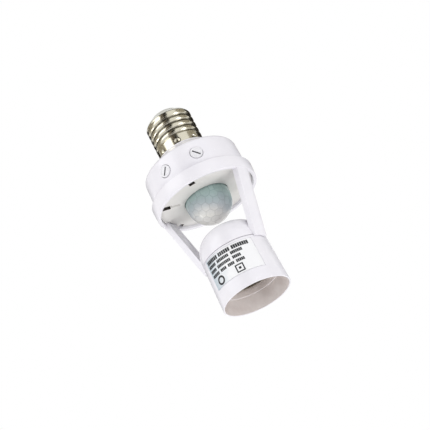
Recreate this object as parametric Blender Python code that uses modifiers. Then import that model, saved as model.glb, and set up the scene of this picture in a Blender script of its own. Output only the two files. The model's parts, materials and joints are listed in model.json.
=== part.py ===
"""Lamp holder with a motion sensor: screw cap on top, sensor housing, and a lamp socket on two legs below.

Metres, +Z up. The origin is the centre of the lower mouth's rim, and the two legs stand along X.
"""

from math import atan2, ceil, cos, hypot, pi, radians, sin, sqrt, tan

import bmesh
import bpy
from mathutils import Matrix, Vector

MM = 0.001

# Gaps, walls and how finely the round pieces are cut
FIT = 0.3 * MM
WALL = 1.8 * MM
ROUND = 36
SMALL_ROUND = 20
TINY_ROUND = 8

# Screw cap and lamp thread of size E27
THREAD_RADIUS = 13.1 * MM
THREAD_PITCH = 3.629 * MM
THREAD_DEPTH = 0.95 * MM
THREAD_ROWS = 4
SHEET = 0.4 * MM
CAP_BAND = 5.4 * MM
CAP_BAND_STEP = 0.1 * MM
CAP_TURNS = 4.25
CAP_SHOULDER = 0.6 * MM
CAP_HOLE_RADIUS = 8.6 * MM
CAP_SIDES = 22
INSULATOR_RISE = 4.4 * MM
INSULATOR_LAND = 2.3 * MM
INSULATOR_STEP = 1.1 * MM
CONTACT_RADIUS = 5.0 * MM
CONTACT_FLAT_RADIUS = 3.0 * MM
CONTACT_HEIGHT = 1.3 * MM
CONTACT_EDGE = 0.5 * MM
CONTACT_SHANK_RADIUS = 1.3 * MM
CONTACT_SHANK = 9.0 * MM
CRIMPS = 8
CRIMP_RADIUS = 1.4 * MM
CRIMP_HEIGHT = 2.9 * MM
CRIMP_TURN = radians(-57)

# Lower socket
SLEEVE_FLARE = 0.8 * MM
SLEEVE_HEIGHT = 26.3 * MM
NECK_WALL = 0.75 * MM
SLEEVE_SPIGOT = 3.0 * MM
SLEEVE_LEDGE_HEIGHT = 9.0 * MM
SLEEVE_LEDGE = 0.5 * MM
BELL_STRAIGHT = 2.2 * MM
BELL_RISE = 12.5 * MM
BELL_CROWN_RADIUS = 8.0 * MM
CORE_MOUTH_HEIGHT = 11.5 * MM
CORE_WALL = 1.2 * MM
CORE_FLANGE = 1.7 * MM
CORE_DISC = 2.4 * MM
CORE_EDGE = 1.0 * MM
SOCKET_THREAD_RADIUS = 13.35 * MM
SOCKET_TURNS = 4.0
SOCKET_SIDES = 16
CORE_SIDES = 28
RIVET_RADIUS = 1.0 * MM
RIVET_HEAD_RADIUS = 1.9 * MM
RIVET_FLAT_RADIUS = 1.3 * MM
RIVET_HEAD = 0.7 * MM
RIVET_SIDES = 8
SHELL_RIVET_REACH = 10.9 * MM
TONGUE_WIDTH = 5.0 * MM
TONGUE_SHEET = 0.5 * MM
TONGUE_DROP = 2.8 * MM
TONGUE_RIVET_REACH = 5.2 * MM
TONGUE_GAP = 0.5 * MM

# Legs
LEG_TURNS = (0.0, radians(190))
LEG_WIDTH = 8.8 * MM
LEG_DEPTH = 3.6 * MM
LEG_SKIN = 1.0 * MM
LEG_FOOT_HEIGHT = 25.2 * MM
LEG_FOOT = 1.2 * MM
CHANNEL_WIDTH = 5.2 * MM
LEG_COVER = 0.85 * MM
LEG_COVER_NOTCH = 3.0 * MM
WINDOW_HEIGHT = 20.7 * MM

# Sensor housing
RING_RIM_RADIUS = 28.9 * MM
RING_WALL = 2.1 * MM
RING_HEIGHT = 7.4 * MM
RING_SPREAD = 0.4 * MM
RING_EDGE = 0.6 * MM
RING_LEDGE = 1.1 * MM
RING_LEDGE_THICKNESS = 1.2 * MM
COVER_STEP = 2.3 * MM
COVER_SIDE = 13.7 * MM
COVER_DRAFT = radians(1.6)
COVER_EDGE = 2.2 * MM
SHOULDER_SLOPE = radians(34)
COLLAR_RADIUS = 15.2 * MM
COLLAR_RISE = 0.6 * MM
COLLAR_EDGE = 0.3 * MM
SPIGOT_BORE_RADIUS = 9.6 * MM
SPIGOT_RISE = 4.4 * MM
LIP = 1.2 * MM
SNAP_SPREAD = radians(28)
SNAP_WIDTH = 5.0 * MM
SNAP_NOSE = 0.7 * MM
SNAP_ROOM = 1.8 * MM

# Deck, dome and sensor
DECK_RECESS = 1.6 * MM
DECK = 1.8 * MM
DECK_GROOVE = (1.6 * MM, 0.5 * MM)
DECK_GROOVE_START = 16.4 * MM
DOME_RADIUS = 11.8 * MM
DOME_SKIRT = 3.2 * MM
DOME_WALL = 0.8 * MM
DOME_FLANGE = 2.0 * MM
DOME_SIDES = 30
DOME_GAP = 0.9 * MM
RETAINER = 1.4 * MM
POST_RADIUS = 2.4 * MM
POST_SHARE = 29 / 49
POST_TURN = radians(30)
SCREW_RADIUS = 1.1 * MM
SCREW_LENGTH = 5.0 * MM
SCREW_HEAD_RADIUS = 2.1 * MM
SCREW_FLAT_RADIUS = 1.5 * MM
SCREW_HEAD = 1.5 * MM
SCREW_POINT = 1.0 * MM
SENSOR_RADIUS = 4.1 * MM
SENSOR_HEIGHT = 4.2 * MM
SENSOR_BRIM = 0.5 * MM
SENSOR_WINDOW = (4.0 * MM, 3.0 * MM)
SENSOR_GLASS = 0.4 * MM
LIGHT_SENSOR_RADIUS = 2.0 * MM
LIGHT_SENSOR_HEIGHT = 3.4 * MM
LIGHT_SENSOR_SIDES = 16

# Circuit board and what stands on it
BOARD = 1.6 * MM
BOARD_GAP = 0.6 * MM
BOARD_NOTCH = 2.6 * MM
KNOB_TURNS = {"time": radians(-86), "lux": radians(-44)}
KNOB_SLOPES = {"time": radians(54), "lux": radians(-45)}
KNOB_HEIGHT = 7.3 * MM
KNOB_RADIUS = 3.3 * MM
KNOB_PROUD = 0.35 * MM
KNOB_SLOT = (4.8 * MM, 0.8 * MM, 1.0 * MM)
KNOB_SHAFT_RADIUS = 1.8 * MM
KNOB_SHAFT = 3.4 * MM
POT_WIDTH = 9.6 * MM
POT_DEPTH = 4.6 * MM
POT_RISE = 5.2 * MM
RELAY = (18.6 * MM, 10.4 * MM, 15.3 * MM)
RELAY_OFFSET = 3.4 * MM
FILM_CAPACITOR = (13.0 * MM, 6.0 * MM, 11.5 * MM)
SMOOTHING_RADIUS = 4.0 * MM
SMOOTHING_HEIGHT = 11.5 * MM
RECTIFIER = (7.0 * MM, 6.0 * MM, 3.2 * MM)
FUSE_RADIUS = 1.8 * MM
FUSE_HEIGHT = 9.5 * MM
CHIP = (6.0 * MM, 3.9 * MM, 1.5 * MM)
PART_GAP = 1.0 * MM
CAP_WIRE_PAD = 13.5 * MM
WIRE_RADIUS = 0.65 * MM

# Rating label on the sleeve
LABEL_SHEET = 0.2 * MM
LABEL_BED = 0.1 * MM
LABEL_LOW = 7.9 * MM
LABEL_TOP_LAND = 1.3 * MM
LABEL_START = radians(-115)
LABEL_STOP = radians(-22)

# Heights that follow from the stack of pieces
bell_base = SLEEVE_HEIGHT + FIT
bell_shoulder = bell_base + BELL_STRAIGHT
bell_top = bell_shoulder + BELL_RISE
rim_height = bell_top + WINDOW_HEIGHT
parting_height = rim_height + RING_HEIGHT
deck_base = rim_height + DECK_RECESS
deck_top = deck_base + DECK
ledge_base = deck_top + FIT
ledge_top = ledge_base + RING_LEDGE_THICKNESS
cover_base = parting_height + FIT
cover_edge_height = cover_base + COVER_SIDE
flange_base = deck_top + FIT
retainer_base = flange_base + DOME_WALL + FIT
board_base = retainer_base + RETAINER + FIT
board_top = board_base + BOARD
part_base = board_top + FIT

# Radii that follow from their neighbours
ring_bore = RING_RIM_RADIUS - RING_WALL
ledge_bore = ring_bore - RING_LEDGE
ring_top_radius = RING_RIM_RADIUS + RING_SPREAD
cover_base_radius = ring_top_radius - COVER_STEP
lip_radius = ledge_bore - FIT
lip_bore = lip_radius - LIP
board_radius = lip_bore - BOARD_GAP
brim_radius = DOME_RADIUS + DOME_FLANGE
post_reach = brim_radius + (board_radius - brim_radius) * POST_SHARE
cover_edge_radius = cover_base_radius - COVER_SIDE * tan(COVER_DRAFT)
corner_radius = cover_edge_radius - COVER_EDGE * (1 - sin(SHOULDER_SLOPE))
corner_height = cover_edge_height + COVER_EDGE * cos(SHOULDER_SLOPE)
collar_height = corner_height + (corner_radius - COLLAR_RADIUS) * tan(SHOULDER_SLOPE)
roof_height = collar_height + COLLAR_RISE
leg_run = rim_height - LEG_FOOT_HEIGHT
cap_band_radius = THREAD_RADIUS - CAP_BAND_STEP
core_bore = SOCKET_THREAD_RADIUS + SHEET + FIT
core_radius = core_bore + CORE_WALL
neck_bore = core_radius + FIT
neck_radius = neck_bore + NECK_WALL
bell_bore = neck_radius + FIT
sleeve_top_radius = bell_bore + WALL
sleeve_mouth_radius = sleeve_top_radius + SLEEVE_FLARE


def sleeve_radius(height):
    """Outer radius of the lower sleeve, which narrows a little towards its top."""
    return sleeve_mouth_radius - SLEEVE_FLARE * height / SLEEVE_HEIGHT


leg_foot_radius = sleeve_radius(LEG_FOOT_HEIGHT) + FIT + LEG_FOOT
leg_slope = (RING_RIM_RADIUS - FIT - leg_foot_radius) / leg_run
leg_across = sqrt(1 + leg_slope**2)


def leg_radius(height, depth=0.0):
    """Distance from the axis to a line this deep below a leg's outer face, at a height."""
    return leg_foot_radius + (height - LEG_FOOT_HEIGHT) * leg_slope - depth * leg_across


# Collections and materials


def clear_scene():
    for obj in list(bpy.data.objects):
        bpy.data.objects.remove(obj)


def new_collection(name):
    collection = bpy.data.collections.new(name)
    bpy.context.scene.collection.children.link(collection)
    return collection


def new_finish(name, colour, roughness, metallic=0.0):
    material = bpy.data.materials.new(name)
    material.use_nodes = True
    shader = material.node_tree.nodes["Principled BSDF"]
    shader.inputs["Base Color"].default_value = (*colour, 1.0)
    shader.inputs["Roughness"].default_value = roughness
    shader.inputs["Metallic"].default_value = metallic
    material.diffuse_color = (*colour, 1.0)
    return material


clear_scene()
parts = new_collection("motion_sensor_lamp_holder")
cutters = new_collection("cutters")

WHITE_PLASTIC = new_finish("white_plastic", (0.86, 0.85, 0.88), 0.3)
DECK_PLASTIC = new_finish("deck_plastic", (0.72, 0.71, 0.69), 0.4)
DOME_PLASTIC = new_finish("dome_plastic", (0.55, 0.62, 0.60), 0.35)
NICKEL = new_finish("nickel", (0.72, 0.68, 0.62), 0.22, 1.0)
BRASS = new_finish("brass", (0.78, 0.60, 0.28), 0.3, 1.0)
STEEL = new_finish("steel", (0.6, 0.6, 0.6), 0.35, 1.0)
CORE_PLASTIC = new_finish("core_plastic", (0.75, 0.73, 0.70), 0.5)
BOARD_LAMINATE = new_finish("board_laminate", (0.55, 0.40, 0.16), 0.55)
BLACK_PLASTIC = new_finish("black_plastic", (0.03, 0.03, 0.03), 0.4)
BLUE_PLASTIC = new_finish("blue_plastic", (0.05, 0.16, 0.45), 0.35)
YELLOW_PLASTIC = new_finish("yellow_plastic", (0.80, 0.62, 0.10), 0.4)
GREEN_COATING = new_finish("green_coating", (0.10, 0.35, 0.22), 0.5)
DARK_GLASS = new_finish("dark_glass", (0.02, 0.02, 0.03), 0.1)
CLEAR_RESIN = new_finish("clear_resin", (0.85, 0.80, 0.70), 0.15)
LABEL_FILM = new_finish("label_film", (0.80, 0.82, 0.86), 0.45)
RED_WIRE = new_finish("red_wire", (0.60, 0.04, 0.03), 0.45)
BLUE_WIRE = new_finish("blue_wire", (0.04, 0.12, 0.50), 0.45)


# Ways of making a shape


def placed(name, mesh, finish):
    """Puts a mesh in the model as one object of one material, shaded smooth up to its edges."""
    obj = bpy.data.objects.new(name, mesh)
    parts.objects.link(obj)
    mesh.materials.append(finish)
    mesh.shade_smooth()
    mesh.set_sharp_from_angle(angle=radians(35))
    return obj


def turned(name, profile, finish, steps=ROUND):
    """A closed outline of (radius, height) points turned round Z. It runs down its outer side."""
    mesh = bpy.data.meshes.new(name)
    count = len(profile)
    edges = [(i, (i + 1) % count) for i in range(count)]
    edges = [(a, b) for a, b in edges if profile[a][0] > 0 or profile[b][0] > 0]
    mesh.from_pydata([(radius, 0, height) for radius, height in profile], edges, [])
    obj = placed(name, mesh, finish)
    screw = obj.modifiers.new("Turn", "SCREW")
    screw.steps = steps
    screw.render_steps = steps
    screw.use_merge_vertices = True
    screw.merge_threshold = 1e-6
    return obj


def from_bmesh(name, shape, finish):
    bmesh.ops.recalc_face_normals(shape, faces=shape.faces)
    mesh = bpy.data.meshes.new(name)
    shape.to_mesh(mesh)
    shape.free()
    return placed(name, mesh, finish)


def swept(name, profile, start, stop, finish, steps=8):
    """A closed outline of (radius, height) points swept round Z from one angle to another."""
    shape = bmesh.new()
    points = [(radius * cos(start), radius * sin(start), height) for radius, height in profile]
    outline = shape.faces.new([shape.verts.new(point) for point in points])
    bmesh.ops.spin(
        shape,
        geom=[outline, *outline.edges, *outline.verts],
        axis=(0, 0, 1),
        cent=(0, 0, 0),
        angle=stop - start,
        steps=steps,
    )
    open_edges = [edge for edge in shape.edges if edge.is_boundary]
    if open_edges:
        bmesh.ops.holes_fill(shape, edges=open_edges)
    return from_bmesh(name, shape, finish)


def block(name, low, high, finish, place=Matrix.Identity(4)):
    """A box between two corners."""
    low, high = Vector(low), Vector(high)
    shape = bmesh.new()
    size = Matrix.Diagonal((*(high - low), 1))
    bmesh.ops.create_cube(shape, size=1, matrix=place @ Matrix.Translation((low + high) / 2) @ size)
    return from_bmesh(name, shape, finish)


def rod(name, radius, low, high, finish, sides=SMALL_ROUND, place=Matrix.Identity(4), top=None):
    """A cylinder along Z between two heights, or a cone if its top radius differs."""
    shape = bmesh.new()
    bmesh.ops.create_cone(
        shape,
        cap_ends=True,
        segments=sides,
        radius1=radius,
        radius2=radius if top is None else top,
        depth=high - low,
        matrix=place @ Matrix.Translation((0, 0, (low + high) / 2)) @ turn_about_axis(pi / sides),
    )
    return from_bmesh(name, shape, finish)


def ball(name, radius, centre, finish, sides=TINY_ROUND):
    shape = bmesh.new()
    bmesh.ops.create_uvsphere(
        shape, u_segments=sides, v_segments=sides // 2 + 1, radius=radius, matrix=Matrix.Translation(centre)
    )
    return from_bmesh(name, shape, finish)


def evaluated_mesh(obj):
    bpy.context.view_layer.update()
    graph = bpy.context.evaluated_depsgraph_get()
    return bpy.data.meshes.new_from_object(obj.evaluated_get(graph))


def extruded(name, outline, depth, finish, place=Matrix.Identity(4)):
    """A flat outline of (x, z) points made this deep along Y, half to each side."""
    curve = bpy.data.curves.new(name, "CURVE")
    curve.dimensions = "2D"
    curve.fill_mode = "BOTH"
    curve.extrude = depth / 2
    spline = curve.splines.new("POLY")
    spline.points.add(len(outline) - 1)
    for point, (x, z) in zip(spline.points, outline):
        point.co = (x, z, 0, 1)
    spline.use_cyclic_u = True
    guide = bpy.data.objects.new(name, curve)
    parts.objects.link(guide)
    mesh = evaluated_mesh(guide)
    bpy.data.objects.remove(guide)
    shape = bmesh.new()
    shape.from_mesh(mesh)
    bmesh.ops.remove_doubles(shape, verts=shape.verts, dist=1e-7)
    bmesh.ops.transform(shape, matrix=place @ Matrix.Rotation(pi / 2, 4, "X"), verts=shape.verts)
    return from_bmesh(name, shape, finish)


def frozen(obj):
    """Turns an object's modifiers into plain mesh, so that its points can be moved."""
    mesh = evaluated_mesh(obj)
    obj.modifiers.clear()
    obj.data = mesh
    return obj


def combine(obj, other, operation):
    change = obj.modifiers.new(other.name, "BOOLEAN")
    change.operation = operation
    change.object = other
    other.hide_render = True
    other.display_type = "WIRE"
    parts.objects.unlink(other)
    cutters.objects.link(other)


def cut(obj, *others):
    for other in others:
        combine(obj, other, "DIFFERENCE")


def join(obj, *others):
    for other in others:
        combine(obj, other, "UNION")


def turn_about_axis(angle):
    return Matrix.Rotation(angle, 4, "Z")


def arc(centre_radius, centre_height, across, along, start, stop, steps):
    """Points along an elliptical arc, by angles from straight outward, upward positive."""
    angles = [start + (stop - start) * i / steps for i in range(steps + 1)]
    return [(centre_radius + across * cos(angle), centre_height + along * sin(angle)) for angle in angles]


def smooth_route(points, share):
    """Points read from a smooth curve that passes through the given ones."""
    route = [Vector(point) for point in points]
    ends = [route[0] * 2 - route[1], *route, route[-1] * 2 - route[-2]]
    found = []
    for before, start, stop, after in zip(ends, ends[1:], ends[2:], ends[3:]):
        for i in range(share):
            t = i / share
            found.append(
                (
                    start * 2
                    + (stop - before) * t
                    + (before * 2 - start * 5 + stop * 4 - after) * t**2
                    + (start * 3 - before - stop * 3 + after) * t**3
                )
                / 2
            )
    return [*found, route[-1]]


def wire(name, points, finish, share=2):
    """An insulated wire along a route, with this many points read for each stretch of it."""
    curve = bpy.data.curves.new(name, "CURVE")
    curve.dimensions = "3D"
    curve.bevel_depth = WIRE_RADIUS
    curve.bevel_resolution = 2
    curve.use_fill_caps = True
    route = smooth_route(points, share)
    spline = curve.splines.new("POLY")
    spline.points.add(len(route) - 1)
    for point, place in zip(spline.points, route):
        point.co = (*place, 1)
    curve.materials.append(finish)
    obj = bpy.data.objects.new(name, curve)
    parts.objects.link(obj)
    return obj


# Screw cap

cap_base = roof_height + FIT
cap_thread_base = cap_base + CAP_BAND
cap_thread_top = cap_thread_base + CAP_TURNS * THREAD_PITCH
cap_top = cap_thread_top + CAP_SHOULDER
insulator_top = cap_top + FIT + INSULATOR_RISE
contact_base = insulator_top + FIT
thread_root_bore = THREAD_RADIUS - THREAD_DEPTH - SHEET
spigot_top = cap_thread_base - FIT


def thread_heights(low, turns):
    """Heights of the rows of points that a thread of this many turns needs."""
    rows = ceil(turns * THREAD_ROWS)
    return [low + turns * THREAD_PITCH * i / rows for i in range(1, rows)]


def roll_thread(obj, low, high):
    """Presses a turned wall inwards along a helix between two heights, fading out at both ends."""
    for point in obj.data.vertices:
        x, y, height = point.co
        if not low < height < high:
            continue
        wave = (1 - cos(2 * pi * (height - low) / THREAD_PITCH - atan2(y, x))) / 2
        fade = min(1, 2 * (height - low) / THREAD_PITCH, 2 * (high - height) / THREAD_PITCH)
        radius = hypot(x, y)
        scale = (radius - THREAD_DEPTH * wave * fade) / radius
        point.co = (x * scale, y * scale, height)


def crimp_place(i):
    """Frame of a crimp: on the axis at its height, with +Z pointing out through it."""
    turn = turn_about_axis(CRIMP_TURN + 2 * pi * i / CRIMPS)
    return turn @ Matrix.Translation((0, 0, cap_base + CRIMP_HEIGHT)) @ Matrix.Rotation(pi / 2, 4, "Y")


crimp_centre = cap_band_radius + CRIMP_RADIUS / 3
crimp_cup_radius = CRIMP_RADIUS + SHEET / 2
crimp_depth = cap_band_radius - (crimp_centre - CRIMP_RADIUS) + SHEET / 2


def cap_shell():
    """Thin plated shell: a plain band that is crimped to the cover, and a rolled thread above it."""
    rows = thread_heights(cap_thread_base, CAP_TURNS)
    outer = [(THREAD_RADIUS - CAP_SHOULDER, cap_top), (THREAD_RADIUS, cap_thread_top)]
    outer += [(THREAD_RADIUS, height) for height in reversed(rows)]
    outer += [(cap_band_radius, cap_thread_base), (cap_band_radius, cap_base)]
    inner = [(cap_band_radius - SHEET, cap_base), (cap_band_radius - SHEET, cap_thread_base)]
    inner += [(THREAD_RADIUS - SHEET, height) for height in rows]
    inner += [(THREAD_RADIUS - SHEET, cap_thread_top)]
    inner += [(THREAD_RADIUS - CAP_SHOULDER - SHEET, cap_top - SHEET)]
    inner += [(CAP_HOLE_RADIUS, cap_top - SHEET), (CAP_HOLE_RADIUS, cap_top)]
    shell = frozen(turned("cap_shell", outer + inner, NICKEL, CAP_SIDES))
    roll_thread(shell, cap_thread_base, cap_thread_top)
    add_crimps(shell)


def add_crimps(shell):
    """Each crimp is a small cup that a punch has pressed into the plain band."""
    wall_middle = cap_band_radius - SHEET / 2
    for i in range(CRIMPS):
        place = crimp_place(i)
        low = cap_band_radius - crimp_depth
        join(shell, rod(f"crimp_cup_{i}", crimp_cup_radius, low, wall_middle, NICKEL, TINY_ROUND, place))
        cut(shell, ball(f"crimp_punch_{i}", CRIMP_RADIUS, place @ Vector((0, 0, crimp_centre)), NICKEL))


def cap_insulator():
    """Pale moulded cone in the top of the shell, with a spigot through the shell's hole."""
    seat = cap_top + FIT
    spigot = CAP_HOLE_RADIUS - FIT
    bore = CONTACT_SHANK_RADIUS + FIT
    low = cap_top - SHEET - 2 * WALL
    crown = CONTACT_RADIUS + INSULATOR_LAND
    brim = THREAD_RADIUS - CAP_SHOULDER - SHEET
    profile = [
        (bore, insulator_top),
        (crown, insulator_top),
        (crown + INSULATOR_STEP, insulator_top - INSULATOR_STEP),
        ((crown + INSULATOR_STEP + brim) / 2, insulator_top - INSULATOR_RISE / 2),
        (brim, seat + INSULATOR_STEP),
        (brim, seat),
        (spigot, seat),
        (spigot, low),
        (spigot - WALL, low),
        (spigot - WALL, seat),
        (bore, seat),
    ]
    turned("cap_insulator", profile, DECK_PLASTIC, CAP_SIDES)


def cap_contact():
    """Brass button on top of the insulator, with its shank down through it."""
    top = contact_base + CONTACT_HEIGHT
    profile = [
        (0, top),
        (CONTACT_FLAT_RADIUS, top),
        (CONTACT_RADIUS - CONTACT_EDGE, top - CONTACT_EDGE),
        (CONTACT_RADIUS, contact_base),
        (CONTACT_SHANK_RADIUS, contact_base),
        (CONTACT_SHANK_RADIUS, contact_base - CONTACT_SHANK),
        (0, contact_base - CONTACT_SHANK),
    ]
    turned("cap_contact", profile, BRASS, SMALL_ROUND)


# Sensor housing

snap_turns = [side * pi / 2 + spread for side in (-1, 1) for spread in (-SNAP_SPREAD, SNAP_SPREAD)]
knob_level = parting_height + KNOB_HEIGHT
knob_wall_radius = cover_base_radius - (knob_level - cover_base) * tan(COVER_DRAFT)
pot_reach = sqrt((lip_bore - FIT) ** 2 - POT_WIDTH**2 / 4)
pot_face = pot_reach - knob_wall_radius - (knob_level - part_base) * sin(COVER_DRAFT)
knob_back = pot_face + FIT


def knob_place(turn):
    """Frame of a knob: its origin on the cover's outer face, +Z outward and square to that face."""
    outward = turn_about_axis(turn) @ Matrix.Rotation(pi / 2 - COVER_DRAFT, 4, "Y")
    centre = (knob_wall_radius * cos(turn), knob_wall_radius * sin(turn), knob_level)
    return Matrix.Translation(centre) @ outward


def cover_profile():
    """Section of the cover: spigot for the cap, sloping shoulder, drafted side and inner lip."""
    spigot = cap_band_radius - SHEET - FIT
    guide = thread_root_bore - FIT
    side_wall = WALL / cos(COVER_DRAFT)
    ceiling = roof_height - WALL
    slope_drop = collar_height - WALL / cos(SHOULDER_SLOPE) - ceiling
    outer = [
        (guide, spigot_top + SPIGOT_RISE),
        (guide, spigot_top),
        (spigot, spigot_top),
        (spigot, roof_height),
        (COLLAR_RADIUS - COLLAR_EDGE, roof_height),
        (COLLAR_RADIUS, roof_height - COLLAR_EDGE),
        (COLLAR_RADIUS, collar_height),
    ]
    centre = cover_edge_radius - COVER_EDGE
    corner = arc(centre, cover_edge_height, COVER_EDGE, COVER_EDGE, pi / 2 - SHOULDER_SLOPE, 0, 3)
    inner = [
        (cover_base_radius, cover_base),
        (lip_radius, cover_base),
        (lip_radius, ledge_top + FIT),
        (lip_bore, ledge_top + FIT),
        (lip_bore, cover_base + WALL),
        (cover_base_radius - side_wall - 2 * WALL * tan(COVER_DRAFT), cover_base + 2 * WALL),
        (cover_edge_radius - side_wall, cover_edge_height - WALL * tan(SHOULDER_SLOPE / 2)),
        (COLLAR_RADIUS + slope_drop / tan(SHOULDER_SLOPE), ceiling),
        (SPIGOT_BORE_RADIUS, ceiling),
        (SPIGOT_BORE_RADIUS, spigot_top + SPIGOT_RISE),
    ]
    return outer + corner + inner


def snap_finger(i, turn):
    """One of the fingers that reach down from the cover's lip and catch under the ring's ledge."""
    half = SNAP_WIDTH / 2 / lip_radius
    nose = lip_radius + SNAP_NOSE
    tip = deck_base + DECK / 3
    catch = ledge_base - FIT
    profile = [
        (lip_bore, cover_base),
        (lip_bore, tip),
        (lip_radius, tip),
        (nose, catch - SNAP_NOSE),
        (nose, catch),
        (lip_radius - FIT / 2, catch),
        (lip_radius - FIT / 2, cover_base),
    ]
    return swept(f"snap_finger_{i}", profile, turn - half, turn + half, WHITE_PLASTIC, 3)


def top_cover():
    """Upper housing, which carries the cap, the two knobs and the snap fingers."""
    cover = turned("top_cover", cover_profile(), WHITE_PLASTIC)
    join(cover, *[snap_finger(i, turn) for i, turn in enumerate(snap_turns)])
    for name, turn in KNOB_TURNS.items():
        place = knob_place(turn)
        hole = rod(f"{name}_hole", KNOB_RADIUS + FIT, -3 * WALL, WALL, WHITE_PLASTIC, SMALL_ROUND, place)
        cut(cover, hole)
    for i, side in enumerate(LEG_TURNS):
        low = (lip_bore - WALL, -CHANNEL_WIDTH / 2, ledge_top - WALL)
        high = (lip_radius + WALL / 2, CHANNEL_WIDTH / 2, cover_base + FIT)
        cut(cover, block(f"lip_notch_{i}", low, high, WHITE_PLASTIC, turn_about_axis(side)))
    for i in range(CRIMPS):
        low = cap_band_radius - crimp_depth - FIT
        pocket = crimp_cup_radius + FIT
        place = crimp_place(i)
        cut(cover, rod(f"crimp_pocket_{i}", pocket, low, THREAD_RADIUS, WHITE_PLASTIC, TINY_ROUND, place))


def ring_profile():
    """Section of the lower ring: a band that widens upward, with a ledge inside that the deck rests against."""
    crown = arc(ring_top_radius - RING_EDGE, parting_height - RING_EDGE, RING_EDGE, RING_EDGE, pi / 2, 0, 2)
    return [
        *crown,
        (RING_RIM_RADIUS, rim_height + FIT),
        (RING_RIM_RADIUS - FIT, rim_height),
        (ring_bore + FIT, rim_height),
        (ring_bore, rim_height + FIT),
        (ring_bore, ledge_base),
        (ledge_bore, ledge_base),
        (ledge_bore, parting_height),
    ]


def bell_arc(inset, steps):
    """The bell's rounded shoulder, at this depth below its surface, from its crown down."""
    across = sleeve_top_radius - BELL_CROWN_RADIUS - inset
    return arc(BELL_CROWN_RADIUS, bell_shoulder, across, BELL_RISE - inset, pi / 2, 0, steps)


def bell_profile():
    """Section of the bell over the lower socket, open below."""
    inner = list(reversed(bell_arc(WALL, 5)))
    return [
        (0, bell_top),
        *bell_arc(0, 6),
        (sleeve_top_radius, bell_base),
        (bell_bore, bell_base),
        *inner,
        (0, bell_top - WALL),
    ]


def leg_bar(i, side):
    """A leg: a straight bar whose outer face is rounded like the housing, down to a tab over the sleeve."""
    spare = 2 * WALL
    outline = [
        (leg_radius(LEG_FOOT_HEIGHT, LEG_DEPTH), LEG_FOOT_HEIGHT),
        (leg_radius(LEG_FOOT_HEIGHT) + spare, LEG_FOOT_HEIGHT),
        (leg_radius(rim_height) + spare, rim_height),
        (leg_radius(rim_height) + spare, ledge_top),
        (leg_radius(rim_height, LEG_DEPTH), ledge_top),
        (leg_radius(rim_height, LEG_DEPTH), rim_height),
    ]
    bar = extruded(f"leg_bar_{i}", outline, LEG_WIDTH, WHITE_PLASTIC, turn_about_axis(side))
    face = [
        (0, ledge_top + FIT),
        (RING_RIM_RADIUS - WALL / 2, ledge_top + FIT),
        (RING_RIM_RADIUS - WALL / 2, rim_height + WALL / 2),
        (leg_radius(rim_height), rim_height),
        (leg_foot_radius, LEG_FOOT_HEIGHT),
        (leg_foot_radius, LEG_FOOT_HEIGHT - WALL),
        (0, LEG_FOOT_HEIGHT - WALL),
    ]
    combine(bar, turned(f"leg_face_{i}", face, WHITE_PLASTIC, ROUND * 2), "INTERSECT")
    cut(bar, turned(f"leg_clearance_{i}", leg_clearance(), WHITE_PLASTIC))
    return bar


def leg_clearance():
    """Section of what a leg keeps clear of: the sleeve, and the bell to the middle of its wall."""
    tab_bore = sleeve_radius(LEG_FOOT_HEIGHT) + FIT
    tab_top = bell_base + FIT
    return [
        (0, bell_top - WALL / 2),
        *bell_arc(WALL / 2, 6),
        (bell_bore + WALL / 2, tab_top),
        (tab_bore, tab_top),
        (tab_bore, LEG_FOOT_HEIGHT - WALL),
        (0, LEG_FOOT_HEIGHT - WALL),
    ]


def channel_outline(shallow, deep, low, high):
    """Side view of the space along a leg between two depths below its outer face."""
    return [
        (leg_radius(low, shallow), low),
        (leg_radius(rim_height, shallow), rim_height),
        (leg_radius(rim_height, shallow), high),
        (leg_radius(rim_height, deep), high),
        (leg_radius(rim_height, deep), rim_height),
        (leg_radius(low, deep), low),
    ]


channel_low = bell_shoulder + WALL
wire_hole_height = channel_low + WIRE_RADIUS + 2 * FIT


def body_frame():
    """Ring, legs and bell moulded in one, with a channel for a wire up each leg."""
    frame = turned("body_frame", ring_profile(), WHITE_PLASTIC)
    join(frame, turned("bell", bell_profile(), WHITE_PLASTIC))
    join(frame, *[frozen(leg_bar(i, side)) for i, side in enumerate(LEG_TURNS)])
    for i, side in enumerate(LEG_TURNS):
        turn = turn_about_axis(side)
        outline = channel_outline(LEG_SKIN, LEG_DEPTH + FIT, channel_low, ledge_top + WALL)
        cut(frame, extruded(f"leg_channel_{i}", outline, CHANNEL_WIDTH, WHITE_PLASTIC, turn))
        along = turn @ Matrix.Translation((0, 0, wire_hole_height)) @ Matrix.Rotation(pi / 2, 4, "Y")
        low = sleeve_top_radius - 3 * WALL
        high = leg_radius(wire_hole_height, LEG_SKIN + FIT)
        radius = WIRE_RADIUS + FIT
        cut(frame, rod(f"wire_hole_{i}", radius, low, high, WHITE_PLASTIC, TINY_ROUND, along))


def bell_radius(height, inset=0.0):
    """Radius of the bell's rounded shoulder at a height, this deep below its surface."""
    rise = (height - bell_shoulder) / (BELL_RISE - inset)
    return BELL_CROWN_RADIUS + (sleeve_top_radius - BELL_CROWN_RADIUS - inset) * sqrt(1 - rise**2)


def leg_meets_bell():
    """Height at which a leg's inner face runs into the bell."""
    low, high = bell_shoulder, bell_top
    for _ in range(40):
        middle = (low + high) / 2
        if leg_radius(middle, LEG_DEPTH) > bell_radius(middle):
            high = middle
        else:
            low = middle
    return high


leg_cover_low = leg_meets_bell() + LEG_COVER_NOTCH


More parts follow.
